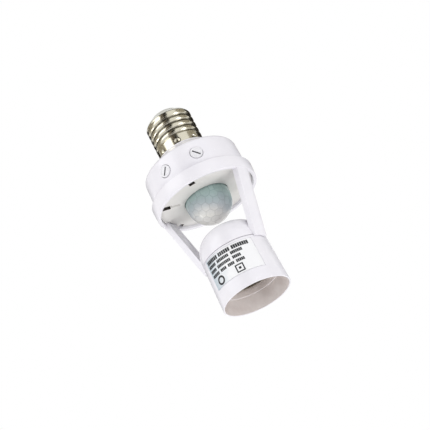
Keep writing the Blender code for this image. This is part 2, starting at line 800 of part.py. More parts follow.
def leg_cover(name, side):
    """Strip that closes a leg's wire channel, flush with the leg's inner face."""
    shallow = LEG_DEPTH - LEG_COVER
    outline = [
        (leg_radius(leg_cover_low, shallow), leg_cover_low),
        (leg_radius(rim_height, shallow), rim_height),
        (leg_radius(rim_height, shallow), deck_base),
        (leg_radius(rim_height, LEG_DEPTH), deck_base),
        (leg_radius(rim_height, LEG_DEPTH), rim_height),
        (leg_radius(leg_cover_low, LEG_DEPTH), leg_cover_low),
    ]
    extruded(name, outline, CHANNEL_WIDTH - 2 * FIT, WHITE_PLASTIC, turn_about_axis(side))


# Deck, dome and sensor


def post_place(side):
    return turn_about_axis(POST_TURN + side) @ Matrix.Translation((post_reach, 0, 0))


def sensor_deck():
    """Grey plate that closes the housing from below, with the dome's hole and the snaps' slots."""
    edge = ring_bore - FIT
    hole = DOME_RADIUS + DOME_GAP
    profile = [(edge, deck_top), (edge, deck_base), (hole, deck_base), (hole, deck_top)]
    deck = turned("sensor_deck", profile, DECK_PLASTIC)
    for i, side in enumerate((0, pi)):
        low = deck_base + DECK / 2
        place = post_place(side)
        top = board_base - FIT
        join(deck, rod(f"deck_post_{i}", POST_RADIUS, low, top, DECK_PLASTIC, SMALL_ROUND, place))
        low = part_base - SCREW_LENGTH - FIT
        pilot = rod(f"screw_pilot_{i}", SCREW_RADIUS + FIT, low, board_top, DECK_PLASTIC, TINY_ROUND, place)
        cut(deck, pilot)
    half = (SNAP_WIDTH / 2 + FIT) / lip_radius
    slot_start = lip_bore - SNAP_ROOM
    slot = [
        (edge + WALL, deck_top + WALL),
        (edge + WALL, deck_base - WALL),
        (slot_start, deck_base - WALL),
        (slot_start, deck_top + WALL),
    ]
    wide, deep = DECK_GROOVE
    for i, turn in enumerate(snap_turns):
        cut(deck, swept(f"snap_slot_{i}", slot, turn - half, turn + half, DECK_PLASTIC, 3))
        low = (DECK_GROOVE_START, -wide / 2, deck_base - WALL)
        high = (slot_start + WALL, wide / 2, deck_base + deep)
        cut(deck, block(f"deck_groove_{i}", low, high, DECK_PLASTIC, turn_about_axis(turn)))
    for i, side in enumerate(LEG_TURNS):
        low = (leg_radius(rim_height, LEG_DEPTH) - FIT, -LEG_WIDTH / 2 - FIT, deck_base - WALL)
        high = (edge + WALL, LEG_WIDTH / 2 + FIT, deck_top + WALL)
        cut(deck, block(f"leg_notch_{i}", low, high, DECK_PLASTIC, turn_about_axis(side)))


def fresnel_dome():
    """Milky lens dome: smooth outside, and inside cut in flat facets, one for each small lens."""
    centre = deck_base - DOME_SKIRT
    flange_top = flange_base + DOME_WALL
    outer = arc(0, centre, DOME_RADIUS, DOME_RADIUS, 0, -pi / 2, 8)
    outer[-1] = (0, centre - DOME_RADIUS)
    profile = [(0, flange_top), (brim_radius, flange_top), (brim_radius, flange_base)]
    profile += [(DOME_RADIUS, flange_base), *outer]
    dome = turned("fresnel_dome", profile, DOME_PLASTIC, DOME_SIDES)
    hollow = bmesh.new()
    bmesh.ops.create_icosphere(
        hollow, subdivisions=2, radius=DOME_RADIUS - DOME_WALL, matrix=Matrix.Translation((0, 0, centre))
    )
    cut(dome, from_bmesh("dome_hollow", hollow, DOME_PLASTIC))
    bore = DOME_RADIUS - 1.5 * DOME_WALL
    cut(dome, rod("dome_bore", bore, centre - DOME_WALL, flange_top + WALL, DOME_PLASTIC, DOME_SIDES))


def dome_retainer():
    """Ring between the dome's brim and the board, which presses the dome into the deck."""
    bore = DOME_RADIUS - DOME_WALL
    top = retainer_base + RETAINER
    profile = [(brim_radius, top), (brim_radius, retainer_base), (bore, retainer_base), (bore, top)]
    turned("dome_retainer", profile, WHITE_PLASTIC, DOME_SIDES)


def pir_sensor():
    """Round metal can of the heat sensor, face down over the dome, on three leads from the board."""
    top = board_base - FIT
    base = top - SENSOR_HEIGHT
    brim = SENSOR_RADIUS + SENSOR_BRIM
    profile = [
        (0, top),
        (brim, top),
        (brim, top - SENSOR_BRIM),
        (SENSOR_RADIUS, top - SENSOR_BRIM),
        (SENSOR_RADIUS, base + SENSOR_BRIM),
        (SENSOR_RADIUS - SENSOR_BRIM, base),
        (0, base),
    ]
    can = turned("pir_sensor", profile, STEEL, 24)
    wide, deep = SENSOR_WINDOW
    low = (-wide / 2 - FIT, -deep / 2 - FIT, base - WALL)
    high = (wide / 2 + FIT, deep / 2 + FIT, base + SENSOR_GLASS + FIT)
    cut(can, block("window_pocket", low, high, STEEL))
    block("pir_window", (-wide / 2, -deep / 2, base), (wide / 2, deep / 2, base + SENSOR_GLASS), DARK_GLASS)


def light_sensor():
    """Clear round-ended light sensor beside the heat sensor, so that the lamp stays off by day."""
    top = board_base - FIT
    base = top - LIGHT_SENSOR_HEIGHT
    radius = LIGHT_SENSOR_RADIUS
    tip = arc(0, base + radius / 2, radius, radius / 2, 0, -pi / 2, 4)
    tip[-1] = (0, base)
    sensor = turned("light_sensor", [(0, top), (radius, top), *tip], CLEAR_RESIN, LIGHT_SENSOR_SIDES)
    sensor.location.y = (SENSOR_RADIUS + SENSOR_BRIM + DOME_RADIUS - DOME_WALL) / 2


# Circuit board


def circuit_board():
    """Round board with notches for the lamp's two wires and holes for its screws."""
    profile = [(0, board_top), (board_radius, board_top), (board_radius, board_base), (0, board_base)]
    board = turned("circuit_board", profile, BOARD_LAMINATE)
    for i, side in enumerate(LEG_TURNS):
        low = (board_radius - BOARD_NOTCH, -CHANNEL_WIDTH / 2, board_base - WALL)
        high = (board_radius + WALL, CHANNEL_WIDTH / 2, board_top + WALL)
        cut(board, block(f"wire_notch_{i}", low, high, BOARD_LAMINATE, turn_about_axis(side)))
    for i, side in enumerate((0, pi)):
        radius = SCREW_RADIUS + FIT
        low = board_base - WALL
        place = post_place(side)
        cut(board, rod(f"screw_hole_{i}", radius, low, board_top + WALL, BOARD_LAMINATE, TINY_ROUND, place))


def board_screw(name, side):
    """Small screw through the board into a post of the deck."""
    head = part_base + SCREW_HEAD
    profile = [
        (0, head),
        (SCREW_FLAT_RADIUS, head),
        (SCREW_HEAD_RADIUS, head - SCREW_HEAD / 3),
        (SCREW_HEAD_RADIUS, part_base),
        (SCREW_RADIUS, part_base),
        (SCREW_RADIUS, part_base - SCREW_LENGTH + SCREW_POINT),
        (0, part_base - SCREW_LENGTH),
    ]
    screw = turned(name, profile, STEEL, 12)
    screw.matrix_world = post_place(side)


def knob(name, turn):
    """Slotted knob flush in the cover's side, whose shaft turns the trimmer behind it."""
    rim = KNOB_RADIUS - FIT
    profile = [
        (0, KNOB_PROUD),
        (rim, KNOB_PROUD),
        (KNOB_RADIUS, KNOB_PROUD - FIT),
        (KNOB_RADIUS, knob_back),
        (KNOB_SHAFT_RADIUS, knob_back),
        (KNOB_SHAFT_RADIUS, knob_back - KNOB_SHAFT),
        (0, knob_back - KNOB_SHAFT),
    ]
    piece = turned(f"{name}_knob", profile, WHITE_PLASTIC, SMALL_ROUND)
    piece.matrix_world = knob_place(turn)
    length, width, depth = KNOB_SLOT
    low = (-length / 2, -width / 2, KNOB_PROUD - depth)
    place = knob_place(turn) @ turn_about_axis(pi / 2 + KNOB_SLOPES[name])
    cut(piece, block(f"{name}_slot", low, (length / 2, width / 2, WALL), WHITE_PLASTIC, place))


def pot(name, turn):
    """Trimmer resistor on the board, with the bore that takes the knob's shaft."""
    back = pot_face - POT_DEPTH
    place = knob_place(turn)
    drop = (knob_level + back * sin(COVER_DRAFT) - part_base) / cos(COVER_DRAFT)
    low = (-POT_RISE, -POT_WIDTH / 2, back)
    high = (drop, POT_WIDTH / 2, pot_face)
    body = block(f"{name}_pot", low, high, BLUE_PLASTIC, place)
    low = knob_back - KNOB_SHAFT - FIT
    bore = rod(f"{name}_pot_bore", KNOB_SHAFT_RADIUS + FIT, low, 0, BLUE_PLASTIC, SMALL_ROUND, place)
    cut(body, bore)


def board_block(name, size, x, y, finish, base=part_base):
    """A boxed component that stands on the board, by the middle of its footprint."""
    wide, deep, tall = size
    low = (x - wide / 2, y - deep / 2, base)
    high = (x + wide / 2, y + deep / 2, base + tall)
    return block(name, low, high, finish)


def board_parts():
    """Power side of the board: relay behind, then capacitors, rectifier and fuse in front of it."""
    relay_y = RELAY_OFFSET + RELAY[1] / 2
    board_block("relay", RELAY, 0, relay_y, BLACK_PLASTIC)
    film_y = RELAY_OFFSET - PART_GAP - FILM_CAPACITOR[1] / 2
    film_x = SMOOTHING_RADIUS / 2
    board_block("film_capacitor", FILM_CAPACITOR, film_x, film_y, YELLOW_PLASTIC)
    can_x = film_x - FILM_CAPACITOR[0] / 2 - PART_GAP - SMOOTHING_RADIUS
    can_top = part_base + SMOOTHING_HEIGHT
    can = rod("smoothing_capacitor", SMOOTHING_RADIUS, part_base, can_top, BLACK_PLASTIC)
    can.location = (can_x, RELAY_OFFSET - PART_GAP - SMOOTHING_RADIUS, 0)
    row_y = film_y - FILM_CAPACITOR[1] / 2 - PART_GAP
    board_block("bridge_rectifier", RECTIFIER, film_x, row_y - RECTIFIER[1] / 2, BLACK_PLASTIC)
    fuse = rod("fuse_resistor", FUSE_RADIUS, part_base, part_base + FUSE_HEIGHT, GREEN_COATING, 16)
    fuse.location = (film_x - RECTIFIER[0] / 2 - PART_GAP - FUSE_RADIUS, row_y - PART_GAP - FUSE_RADIUS, 0)
    chip_y = -brim_radius - PART_GAP - CHIP[1] / 2
    board_block("control_chip", CHIP, 0, chip_y, BLACK_PLASTIC, board_base - FIT - CHIP[2])


# Lower socket

neck_top = SLEEVE_HEIGHT + SLEEVE_SPIGOT
flange_low = neck_top + FIT
flange_high = flange_low + CORE_FLANGE
disc_low = flange_high
disc_high = disc_low + CORE_DISC
shell_top = disc_low - FIT
shell_low = CORE_MOUTH_HEIGHT + FIT


def socket_sleeve():
    """Lower sleeve: slightly flared, open below, with a spigot that goes up into the bell."""
    mouth_bore = sleeve_mouth_radius - WALL
    profile = [
        (neck_radius, neck_top),
        (neck_radius, SLEEVE_HEIGHT),
        (sleeve_top_radius, SLEEVE_HEIGHT),
        (sleeve_radius(0), FIT),
        (sleeve_radius(0) - FIT, 0),
        (mouth_bore + FIT, 0),
        (mouth_bore, FIT),
        (mouth_bore - SLEEVE_LEDGE, SLEEVE_LEDGE_HEIGHT),
        (mouth_bore - 2 * SLEEVE_LEDGE, SLEEVE_LEDGE_HEIGHT),
        (neck_bore, CORE_MOUTH_HEIGHT + WALL),
        (neck_bore, neck_top),
    ]
    sleeve = turned("socket_sleeve", profile, WHITE_PLASTIC)
    cut(sleeve, label_band("label_recess", -LABEL_SHEET, WALL, FIT, WHITE_PLASTIC))


def label_band(name, deep, proud, margin, finish):
    """Part of the sleeve's surface under the label, from this deep below it to this far above it."""
    low = LABEL_LOW - margin
    high = SLEEVE_HEIGHT - LABEL_TOP_LAND + margin
    profile = [
        (sleeve_radius(high) + proud, high),
        (sleeve_radius(low) + proud, low),
        (sleeve_radius(low) + deep, low),
        (sleeve_radius(high) + deep, high),
    ]
    spare = margin / sleeve_top_radius
    return swept(name, profile, LABEL_START - spare, LABEL_STOP + spare, finish, 16)


def rating_label():
    label_band("rating_label", LABEL_BED - LABEL_SHEET, LABEL_BED, 0, LABEL_FILM)


def socket_core():
    """Insulating core: a tube round the lamp's thread, a flange held by the sleeve, and a disc on top."""
    disc_radius = core_bore - FIT
    flange_radius = neck_radius - FIT
    profile = [
        (0, disc_high),
        (disc_radius - CORE_EDGE, disc_high),
        (disc_radius, disc_high - CORE_EDGE),
        (disc_radius, flange_high),
        (flange_radius, flange_high),
        (flange_radius, flange_low),
        (core_radius, flange_low),
        (core_radius, CORE_MOUTH_HEIGHT),
        (core_bore, CORE_MOUTH_HEIGHT),
        (core_bore, disc_low),
        (0, disc_low),
    ]
    core = turned("socket_core", profile, CORE_PLASTIC, CORE_SIDES)
    for i, place in enumerate(rivet_places().values()):
        radius = RIVET_RADIUS + FIT
        high = disc_high + WALL
        cut(core, rod(f"rivet_hole_{i}", radius, disc_low - WALL, high, CORE_PLASTIC, TINY_ROUND, place))


def rivet_places():
    """Where each rivet goes through the core's disc: two for the shell and one for the centre contact."""
    return {
        "shell_rivet_front": Matrix.Translation((0, -SHELL_RIVET_REACH, 0)),
        "shell_rivet_back": Matrix.Translation((0, SHELL_RIVET_REACH, 0)),
        "contact_rivet": Matrix.Translation((TONGUE_RIVET_REACH, 0, 0)),
    }


def socket_shell():
    """Threaded shell that takes the lamp, with an inward rim that is riveted to the core."""
    turns = min(SOCKET_TURNS, (shell_top - SHEET - shell_low) / THREAD_PITCH - 0.5)
    thread_low = shell_low + THREAD_PITCH / 4
    thread_high = thread_low + turns * THREAD_PITCH
    rows = thread_heights(thread_low, turns)
    outer_radius = SOCKET_THREAD_RADIUS + SHEET
    rim_bore = SHELL_RIVET_REACH - RIVET_HEAD_RADIUS - FIT
    outer = [(outer_radius, height) for height in (shell_top, *reversed(rows), shell_low)]
    inner = [(SOCKET_THREAD_RADIUS, height) for height in (shell_low, *rows, shell_top - SHEET)]
    inner += [(rim_bore, shell_top - SHEET), (rim_bore, shell_top)]
    shell = frozen(turned("socket_shell", outer + inner, BRASS, SOCKET_SIDES))
    roll_thread(shell, thread_low, thread_high)
    for i, name in enumerate(("shell_rivet_front", "shell_rivet_back")):
        radius = RIVET_RADIUS + FIT
        place = rivet_places()[name]
        low = shell_top - WALL
        cut(shell, rod(f"shell_hole_{i}", radius, low, shell_top + WALL, BRASS, TINY_ROUND, place))


def rivet(name, under):
    """Rivet with a head above the disc and one below the sheet that it holds."""
    head = RIVET_HEAD_RADIUS
    top = disc_high + FIT + RIVET_HEAD
    low = under - FIT - RIVET_HEAD
    profile = [
        (0, top),
        (RIVET_FLAT_RADIUS, top),
        (head, top - RIVET_HEAD / 2),
        (head, top - RIVET_HEAD),
        (RIVET_RADIUS, top - RIVET_HEAD),
        (RIVET_RADIUS, under - FIT),
        (head, under - FIT),
        (head, under - FIT - RIVET_HEAD / 2),
        (RIVET_FLAT_RADIUS, low),
        (0, low),
    ]
    piece = turned(name, profile, BRASS, RIVET_SIDES)
    piece.matrix_world = rivet_places()[name]


def tongue_top():
    return disc_low - TONGUE_GAP


def centre_contact():
    """Sprung brass tongue: flat under its rivet, bent down to the lamp's tip, and curled at its end."""
    top = tongue_top()
    sheet = TONGUE_SHEET
    root = RIVET_HEAD_RADIUS + FIT
    tip = -2 * TONGUE_RIVET_REACH / 3
    fall = TONGUE_DROP
    upper = [(root, 0), (-root, 0), (-TONGUE_RIVET_REACH, -fall)]
    upper += [(-TONGUE_RIVET_REACH + tip / 2, -fall), (-TONGUE_RIVET_REACH + tip, -fall + sheet)]
    lower = [(x, z - sheet) for x, z in reversed(upper)]
    tongue = extruded("centre_contact", upper + lower, TONGUE_WIDTH, BRASS)
    tongue.location = (TONGUE_RIVET_REACH, 0, top)
    place = rivet_places()["contact_rivet"]
    cut(tongue, rod("tongue_hole", RIVET_RADIUS + FIT, top - WALL, top + WALL, BRASS, TINY_ROUND, place))


# Wires


def leg_wire_route(side, rivet_spot):
    """From the board, out through its notch, down a leg's channel and through the bell to a rivet."""
    deep = LEG_SKIN + FIT + WIRE_RADIUS
    notch = board_radius - BOARD_NOTCH / 2
    pad = board_radius - BOARD_NOTCH - 2 * WIRE_RADIUS - PART_GAP
    top = part_base + 3 * WIRE_RADIUS
    low = wire_hole_height + 2 * WIRE_RADIUS
    above = disc_high + RIVET_HEAD + 3 * FIT + 2 * WIRE_RADIUS
    outward = [
        (pad, part_base),
        (pad, top - WIRE_RADIUS),
        ((pad + notch) / 2, top + WIRE_RADIUS),
        (notch, top - WIRE_RADIUS),
        (notch, board_base),
        ((notch + leg_radius(rim_height, deep)) / 2, ledge_top + WIRE_RADIUS / 2),
        (leg_radius(rim_height, deep), deck_base),
        (leg_radius(rim_height - WALL, deep), rim_height - WALL),
        (leg_radius((rim_height + low) / 2, deep), (rim_height + low) / 2),
        (leg_radius(low + 2 * WALL, deep), low + 2 * WALL),
        (leg_radius(low, deep), low),
        (sleeve_top_radius, wire_hole_height),
        (bell_radius(wire_hole_height, WALL) - 2 * WIRE_RADIUS, wire_hole_height + WIRE_RADIUS / 2),
        (bell_radius(above, WALL) - WIRE_RADIUS - 3 * FIT, above),
    ]
    route = [turn_about_axis(side) @ Vector((x, 0, z)) for x, z in outward]
    end = Vector((*rivet_spot, disc_high + RIVET_HEAD + 3 * FIT))
    bend = Vector((*rivet_spot, above))
    return [*route, (route[-1] + bend) / 2, bend, end]


def cap_wires():
    """Wires up through the cover's bore: one to the cap's contact, one over the spigot to the shell."""
    aside = SPIGOT_BORE_RADIUS / 2
    shank = contact_base - CONTACT_SHANK - 2 * FIT
    over = spigot_top + SPIGOT_RISE + FIT + 2 * WIRE_RADIUS
    reach = thread_root_bore - FIT
    live = [
        (-aside, -CAP_WIRE_PAD, part_base),
        (-aside, -CAP_WIRE_PAD, part_base + RELAY[2] / 2),
        (-aside, -aside, roof_height - 2 * WALL),
        (-aside / 2, -aside / 2, spigot_top),
        (0, 0, shank - 4 * WIRE_RADIUS),
        (0, 0, shank),
    ]
    neutral = [
        (aside, -CAP_WIRE_PAD, part_base),
        (aside, -CAP_WIRE_PAD, part_base + RELAY[2] / 2),
        (aside, -aside, roof_height - 2 * WALL),
        (aside, -aside / 2, spigot_top),
        (aside + WIRE_RADIUS, 0, over - 2 * WIRE_RADIUS),
        ((aside + reach) / 2, 0, over),
        (reach, 0, over),
    ]
    wire("cap_live_wire", live, RED_WIRE)
    wire("cap_neutral_wire", neutral, BLUE_WIRE)


def lamp_wires():
    """Wires from the board down the legs: one to the centre contact's rivet, one to the shell's."""
    wire("lamp_live_wire", leg_wire_route(LEG_TURNS[0], (TONGUE_RIVET_REACH, 0)), RED_WIRE, 1)
    wire("lamp_neutral_wire", leg_wire_route(LEG_TURNS[1], (0, SHELL_RIVET_REACH)), BLUE_WIRE, 1)


cap_shell()
cap_insulator()
cap_contact()
top_cover()
body_frame()
leg_cover("leg_cover_right", LEG_TURNS[0])
leg_cover("leg_cover_left", LEG_TURNS[1])
sensor_deck()
fresnel_dome()
dome_retainer()
pir_sensor()
light_sensor()
circuit_board()
board_screw("board_screw_right", 0)
board_screw("board_screw_left", pi)
for knob_name, knob_turn in KNOB_TURNS.items():
    knob(knob_name, knob_turn)
    pot(knob_name, knob_turn)
board_parts()
socket_sleeve()
socket_core()
socket_shell()
for rivet_name in ("shell_rivet_front", "shell_rivet_back"):
    rivet(rivet_name, shell_top - SHEET)
rivet("contact_rivet", tongue_top() - TONGUE_SHEET)
centre_contact()
rating_label()
cap_wires()
lamp_wires()
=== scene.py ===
"""The looks of the motion sensor lamp holder: its fine surfaces and finishes, the camera and the studio."""

import json
import math

import bpy
from mathutils import Matrix, Vector


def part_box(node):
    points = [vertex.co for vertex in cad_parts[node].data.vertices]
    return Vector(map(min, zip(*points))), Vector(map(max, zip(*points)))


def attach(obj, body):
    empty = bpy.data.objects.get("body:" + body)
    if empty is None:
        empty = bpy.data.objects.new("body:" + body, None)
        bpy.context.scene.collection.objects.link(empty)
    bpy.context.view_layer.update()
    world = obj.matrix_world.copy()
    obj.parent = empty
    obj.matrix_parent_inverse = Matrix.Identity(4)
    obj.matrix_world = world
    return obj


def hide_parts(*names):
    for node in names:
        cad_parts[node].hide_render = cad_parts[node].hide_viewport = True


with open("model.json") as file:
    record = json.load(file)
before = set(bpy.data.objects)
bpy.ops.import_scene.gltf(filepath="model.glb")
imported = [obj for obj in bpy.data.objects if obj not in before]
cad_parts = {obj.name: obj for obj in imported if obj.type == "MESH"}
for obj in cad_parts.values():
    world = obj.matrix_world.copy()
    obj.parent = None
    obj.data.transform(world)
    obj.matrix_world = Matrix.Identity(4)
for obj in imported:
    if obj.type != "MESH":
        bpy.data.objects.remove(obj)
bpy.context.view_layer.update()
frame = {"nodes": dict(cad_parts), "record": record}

# Camera
# The photograph looks up at the holder from below its right front, with the cap leaning to the upper left.
# The place, the turn and the lens follow from the ellipses of the thread, the ring's rim and the mouth.

MM = 0.001
CAMERA_AZIMUTH = math.radians(33.12)
CAMERA_ELEVATION = math.radians(-25.17)
CAMERA_ROLL = math.radians(-27.17)
CAMERA_DISTANCE = 718.7 * MM
CAMERA_TARGET_HEIGHT = 60 * MM
CAMERA_ASIDE = 3.03 * MM
CAMERA_LIFT = -6.47 * MM
CAMERA_NEAREST = 10 * MM
PICTURE_WIDTH = 430
FOCAL_PIXELS = 1349.6
SENSOR_WIDTH = 36

scene = bpy.context.scene
scene.view_settings.view_transform = "Standard"


def direction(azimuth, elevation):
    """Unit vector towards a place: azimuth 0 is at -Y, and turns towards +X."""
    flat = math.cos(elevation)
    return Vector((math.sin(azimuth) * flat, -math.cos(azimuth) * flat, math.sin(elevation)))


back = direction(CAMERA_AZIMUTH, CAMERA_ELEVATION)
level = Vector((math.cos(CAMERA_AZIMUTH), math.sin(CAMERA_AZIMUTH), 0))
steep = back.cross(level)
right = level * math.cos(CAMERA_ROLL) + steep * math.sin(CAMERA_ROLL)
up = steep * math.cos(CAMERA_ROLL) - level * math.sin(CAMERA_ROLL)
bpy.ops.object.camera_add()
camera = bpy.context.object
eye = Vector((0, 0, CAMERA_TARGET_HEIGHT)) + right * CAMERA_ASIDE + up * CAMERA_LIFT + back * CAMERA_DISTANCE
camera.matrix_world = Matrix.Translation(eye) @ Matrix((right, up, back)).transposed().to_4x4()
camera.data.sensor_width = SENSOR_WIDTH
camera.data.lens = SENSOR_WIDTH * FOCAL_PIXELS / PICTURE_WIDTH
camera.data.clip_start = CAMERA_NEAREST
scene.camera = camera

# Studio
# A white room: a paper floor well below, a white surround and three soft lamps. Cards of black, brown and
# beige cloth, which only reflections see, give the bright metal its dark bands and the white plastic its
# grey edges.

FLOOR_HEIGHT = -0.5
FLOOR_SIZE = 8
ROOM_LIGHT = 0.83
STUDIO_CENTRE = Vector((0, 0, 80 * MM))
LAMP_DISTANCE = 0.9
CARD_DISTANCE = 0.5
NARROW_CARD = (0.16, 0.62)
NARROW_CARD_RISES = (-50, 25, 75, 125)
TALL_CARD = 1.4
CLOTH_COLOURS = {"black_velvet": "#1E1814", "brown_felt": "#5E5344", "beige_felt": "#A39D90"}


def linear(hex_colour):
    """An sRGB hex colour as linear RGB with alpha."""
    channels = [int(hex_colour[i : i + 2], 16) / 255 for i in (1, 3, 5)]
    return (*[c / 12.92 if c <= 0.04045 else ((c + 0.055) / 1.055) ** 2.4 for c in channels], 1.0)


def add(tree, kind, inputs=None, **settings):
    """Adds a node with its settings, and fills or links its inputs by name or number."""
    made = tree.nodes.new(kind)
    for name, value in settings.items():
        setattr(made, name, value)
    for name, value in (inputs or {}).items():
        if isinstance(value, bpy.types.NodeSocket):
            tree.links.new(value, made.inputs[name])
        else:
            made.inputs[name].default_value = value
    return made


def calculate(tree, operation, *values):
    """One step of arithmetic with links and numbers."""
    return add(tree, "ShaderNodeMath", dict(enumerate(values)), operation=operation).outputs[0]


def remap(tree, value, start=0.0, stop=1.0, first=0.0, last=1.0):
    """Turns start to stop into first to last, and holds what lies past them."""
    ends = {"From Min": start, "From Max": stop, "To Min": first, "To Max": last}
    return add(tree, "ShaderNodeMapRange", {"Value": value, **ends}).outputs[0]


def noise(tree, place, width, detail):
    """Soft random clouds about this wide."""
    inputs = {"Vector": place, "Scale": 1 / width, "Detail": detail}
    return add(tree, "ShaderNodeTexNoise", inputs).outputs["Fac"]


def blend(tree, share, first, last):
    """A mix of two hex colours. The node takes them in inputs 6 and 7, and gives its result in output 2."""
    colours = {"Factor": share, 6: linear(first), 7: linear(last)}
    return add(tree, "ShaderNodeMix", colours, data_type="RGBA").outputs[2]


def emboss(tree, shader, height, depth, strength=1.0):
    """Gives a surface the relief of a height, this deep."""
    relief = add(tree, "ShaderNodeBump", {"Height": height, "Distance": depth, "Strength": strength})
    tree.links.new(relief.outputs[0], shader.inputs["Normal"])


def blank_material(name):
    """A new material, its node tree and its shader."""
    material = bpy.data.materials.new(name)
    material.use_nodes = True
    tree = material.node_tree
    return material, tree, tree.nodes["Principled BSDF"]


def matt_sheet(name, colour, roughness):
    """Paper or cloth of one even tone."""
    material, tree, shader = blank_material(name)
    shader.inputs["Base Color"].default_value = linear(colour)
    shader.inputs["Roughness"].default_value = roughness
    return material


def facing(place):
    """Turn that points an object's -Z from a place at the middle of the studio."""
    return (place - STUDIO_CENTRE).to_track_quat("Z", "Y").to_euler()


def mirrored_card(name, cloth, azimuth, elevation, size):
    """A card of cloth that only reflections see."""
    place = STUDIO_CENTRE + direction(math.radians(azimuth), math.radians(elevation)) * CARD_DISTANCE
    bpy.ops.mesh.primitive_plane_add(size=1, location=place, rotation=facing(place))
    card = bpy.context.object
    card.name = name
    card.scale = (*size, 1)
    card.visible_camera = False
    card.visible_diffuse = False
    card.visible_shadow = False
    card.visible_transmission = False
    card.data.materials.append(cloth)


def soft_lamp(name, azimuth, elevation, size, power):
    """A soft box that the camera doesn't see."""
    place = STUDIO_CENTRE + direction(math.radians(azimuth), math.radians(elevation)) * LAMP_DISTANCE
    bpy.ops.object.light_add(type="AREA", location=place, rotation=facing(place))
    lamp = bpy.context.object
    lamp.name = name
    lamp.data.shape = "RECTANGLE"
    lamp.data.size, lamp.data.size_y = size
    lamp.data.energy = power
    lamp.visible_camera = False


bpy.ops.mesh.primitive_plane_add(size=FLOOR_SIZE, location=(0, 0, FLOOR_HEIGHT))
floor = bpy.context.object
floor.name = "floor"
# Seamless white paper: matt, so that it shows no image of the object.
floor.data.materials.append(matt_sheet("white_paper_floor", "#FFFFFF", 0.9))

# Velvet and felt: matt cloth in three plain tones, so that each band in a reflection is even.
cloths = {}
for name, colour in CLOTH_COLOURS.items():
    cloths[name] = matt_sheet(name, colour, 1.0)
for i, elevation in enumerate(NARROW_CARD_RISES):
    mirrored_card(f"card_behind_camera_{i}", cloths["black_velvet"], 35, elevation, NARROW_CARD)
    mirrored_card(f"card_beside_camera_{i}", cloths["brown_felt"], 19, elevation, NARROW_CARD)
mirrored_card("card_back_right", cloths["black_velvet"], 168, 20, (0.36, TALL_CARD))
mirrored_card("card_right", cloths["beige_felt"], 118, 20, (0.4, TALL_CARD))
mirrored_card("card_back_left", cloths["black_velvet"], -112, 20, (0.3, TALL_CARD))
mirrored_card("card_left", cloths["beige_felt"], -62, 20, (0.42, TALL_CARD))
mirrored_card("card_above", cloths["black_velvet"], 30, 90, (1.0, 0.34))

soft_lamp("key_lamp", -12, 35, (0.66, 0.8), 1.9)
soft_lamp("fill_lamp", 98, -34, (0.3, 0.3), 1.9)
soft_lamp("low_lamp", -68, -38, (0.24, 0.24), 1.5)

# The surround: plain white to the camera, mirrors and clear plastic, and a little weaker as light.
world = bpy.data.worlds.new("white_surround")
scene.world = world
world.use_nodes = True
surround = world.node_tree
rays = add(surround, "ShaderNodeLightPath")
direct = calculate(surround, "MAXIMUM", rays.outputs["Is Camera Ray"], rays.outputs["Is Glossy Ray"])
seen = calculate(surround, "MAXIMUM", direct, rays.outputs["Is Transmission Ray"])
surround.nodes["Background"].inputs["Color"].default_value = (1, 1, 1, 1)
strength = surround.nodes["Background"].inputs["Strength"]
surround.links.new(remap(surround, seen, first=ROOM_LIGHT), strength)

# Screw cap
# The cap is a thin brass shell, nickel plated, with the 27 mm Edison thread rolled into its wall. Eight
# crimps, struck with a punch, hold its plain band to the moulded spigot of the cover.

TURN = 2 * math.pi
THREAD_RADIUS = 13.1 * MM
THREAD_PITCH = 3.629 * MM
THREAD_DEPTH = 1.0 * MM
THREAD_ROWS = 14
CAP_SIDES = 144
CAP_SHEET = 0.4 * MM
CAP_BAND = 5.4 * MM
CAP_BAND_ROWS = 18
CAP_BAND_RADIUS = 13.0 * MM
CAP_HOLE_RADIUS = 8.6 * MM
CAP_EDGE = 0.6 * MM
CRIMPS = 8
CRIMP_TURN = math.radians(-57)
CRIMP_HEIGHT = 2.4 * MM
CRIMP_RADIUS = 1.5 * MM
CRIMP_DEPTH = 1.0 * MM


def clear_selection():
    """Deselects every object, because an operator acts on all that is selected."""
    bpy.ops.object.select_all(action="DESELECT")


def select_only(piece):
    """Selects one object and makes it the active one."""
    clear_selection()
    piece.select_set(True)
    bpy.context.view_layer.objects.active = piece


def settle(piece):
    """Puts a finished piece's place, turn and size into its mesh, with its object at the origin."""
    select_only(piece)
    bpy.ops.object.transform_apply(location=True, rotation=True, scale=True)


def select_open_edges():
    """Selects in edit mode the edges that have a face on one side only."""
    bpy.ops.mesh.select_mode(type="EDGE")
    bpy.ops.mesh.select_all(action="DESELECT")
    bpy.ops.mesh.select_non_manifold(
        use_wire=False, use_multi_face=False, use_non_contiguous=False, use_verts=False
    )


def turned(name, profile, sides, ends="joined"):
    """A circle extruded and resized through (radius, height) points, running down the outside.

    Its ends are joined to each other, left open, or closed flat.
    """
    clear_selection()
    radius, height = profile[0]
    bpy.ops.mesh.primitive_circle_add(vertices=sides, radius=radius, location=(0, 0, height))
    piece = bpy.context.object
    piece.name = name
    bpy.ops.object.mode_set(mode="EDIT")
    bpy.ops.mesh.select_all(action="SELECT")
    for new_radius, new_height in profile[1:]:
        bpy.ops.mesh.extrude_region_move(TRANSFORM_OT_translate={"value": (0, 0, new_height - height)})
        share = new_radius / radius
        bpy.ops.transform.resize(value=(share, share, 1), center_override=(0, 0, 0))
        radius, height = new_radius, new_height
    select_open_edges()
    if ends == "joined":
        bpy.ops.mesh.bridge_edge_loops()
    elif ends == "flat":
        bpy.ops.mesh.fill_holes(sides=0)
    bpy.ops.mesh.select_all(action="SELECT")
    bpy.ops.mesh.normals_make_consistent(inside=False)
    bpy.ops.object.mode_set(mode="OBJECT")
    settle(piece)
    return piece


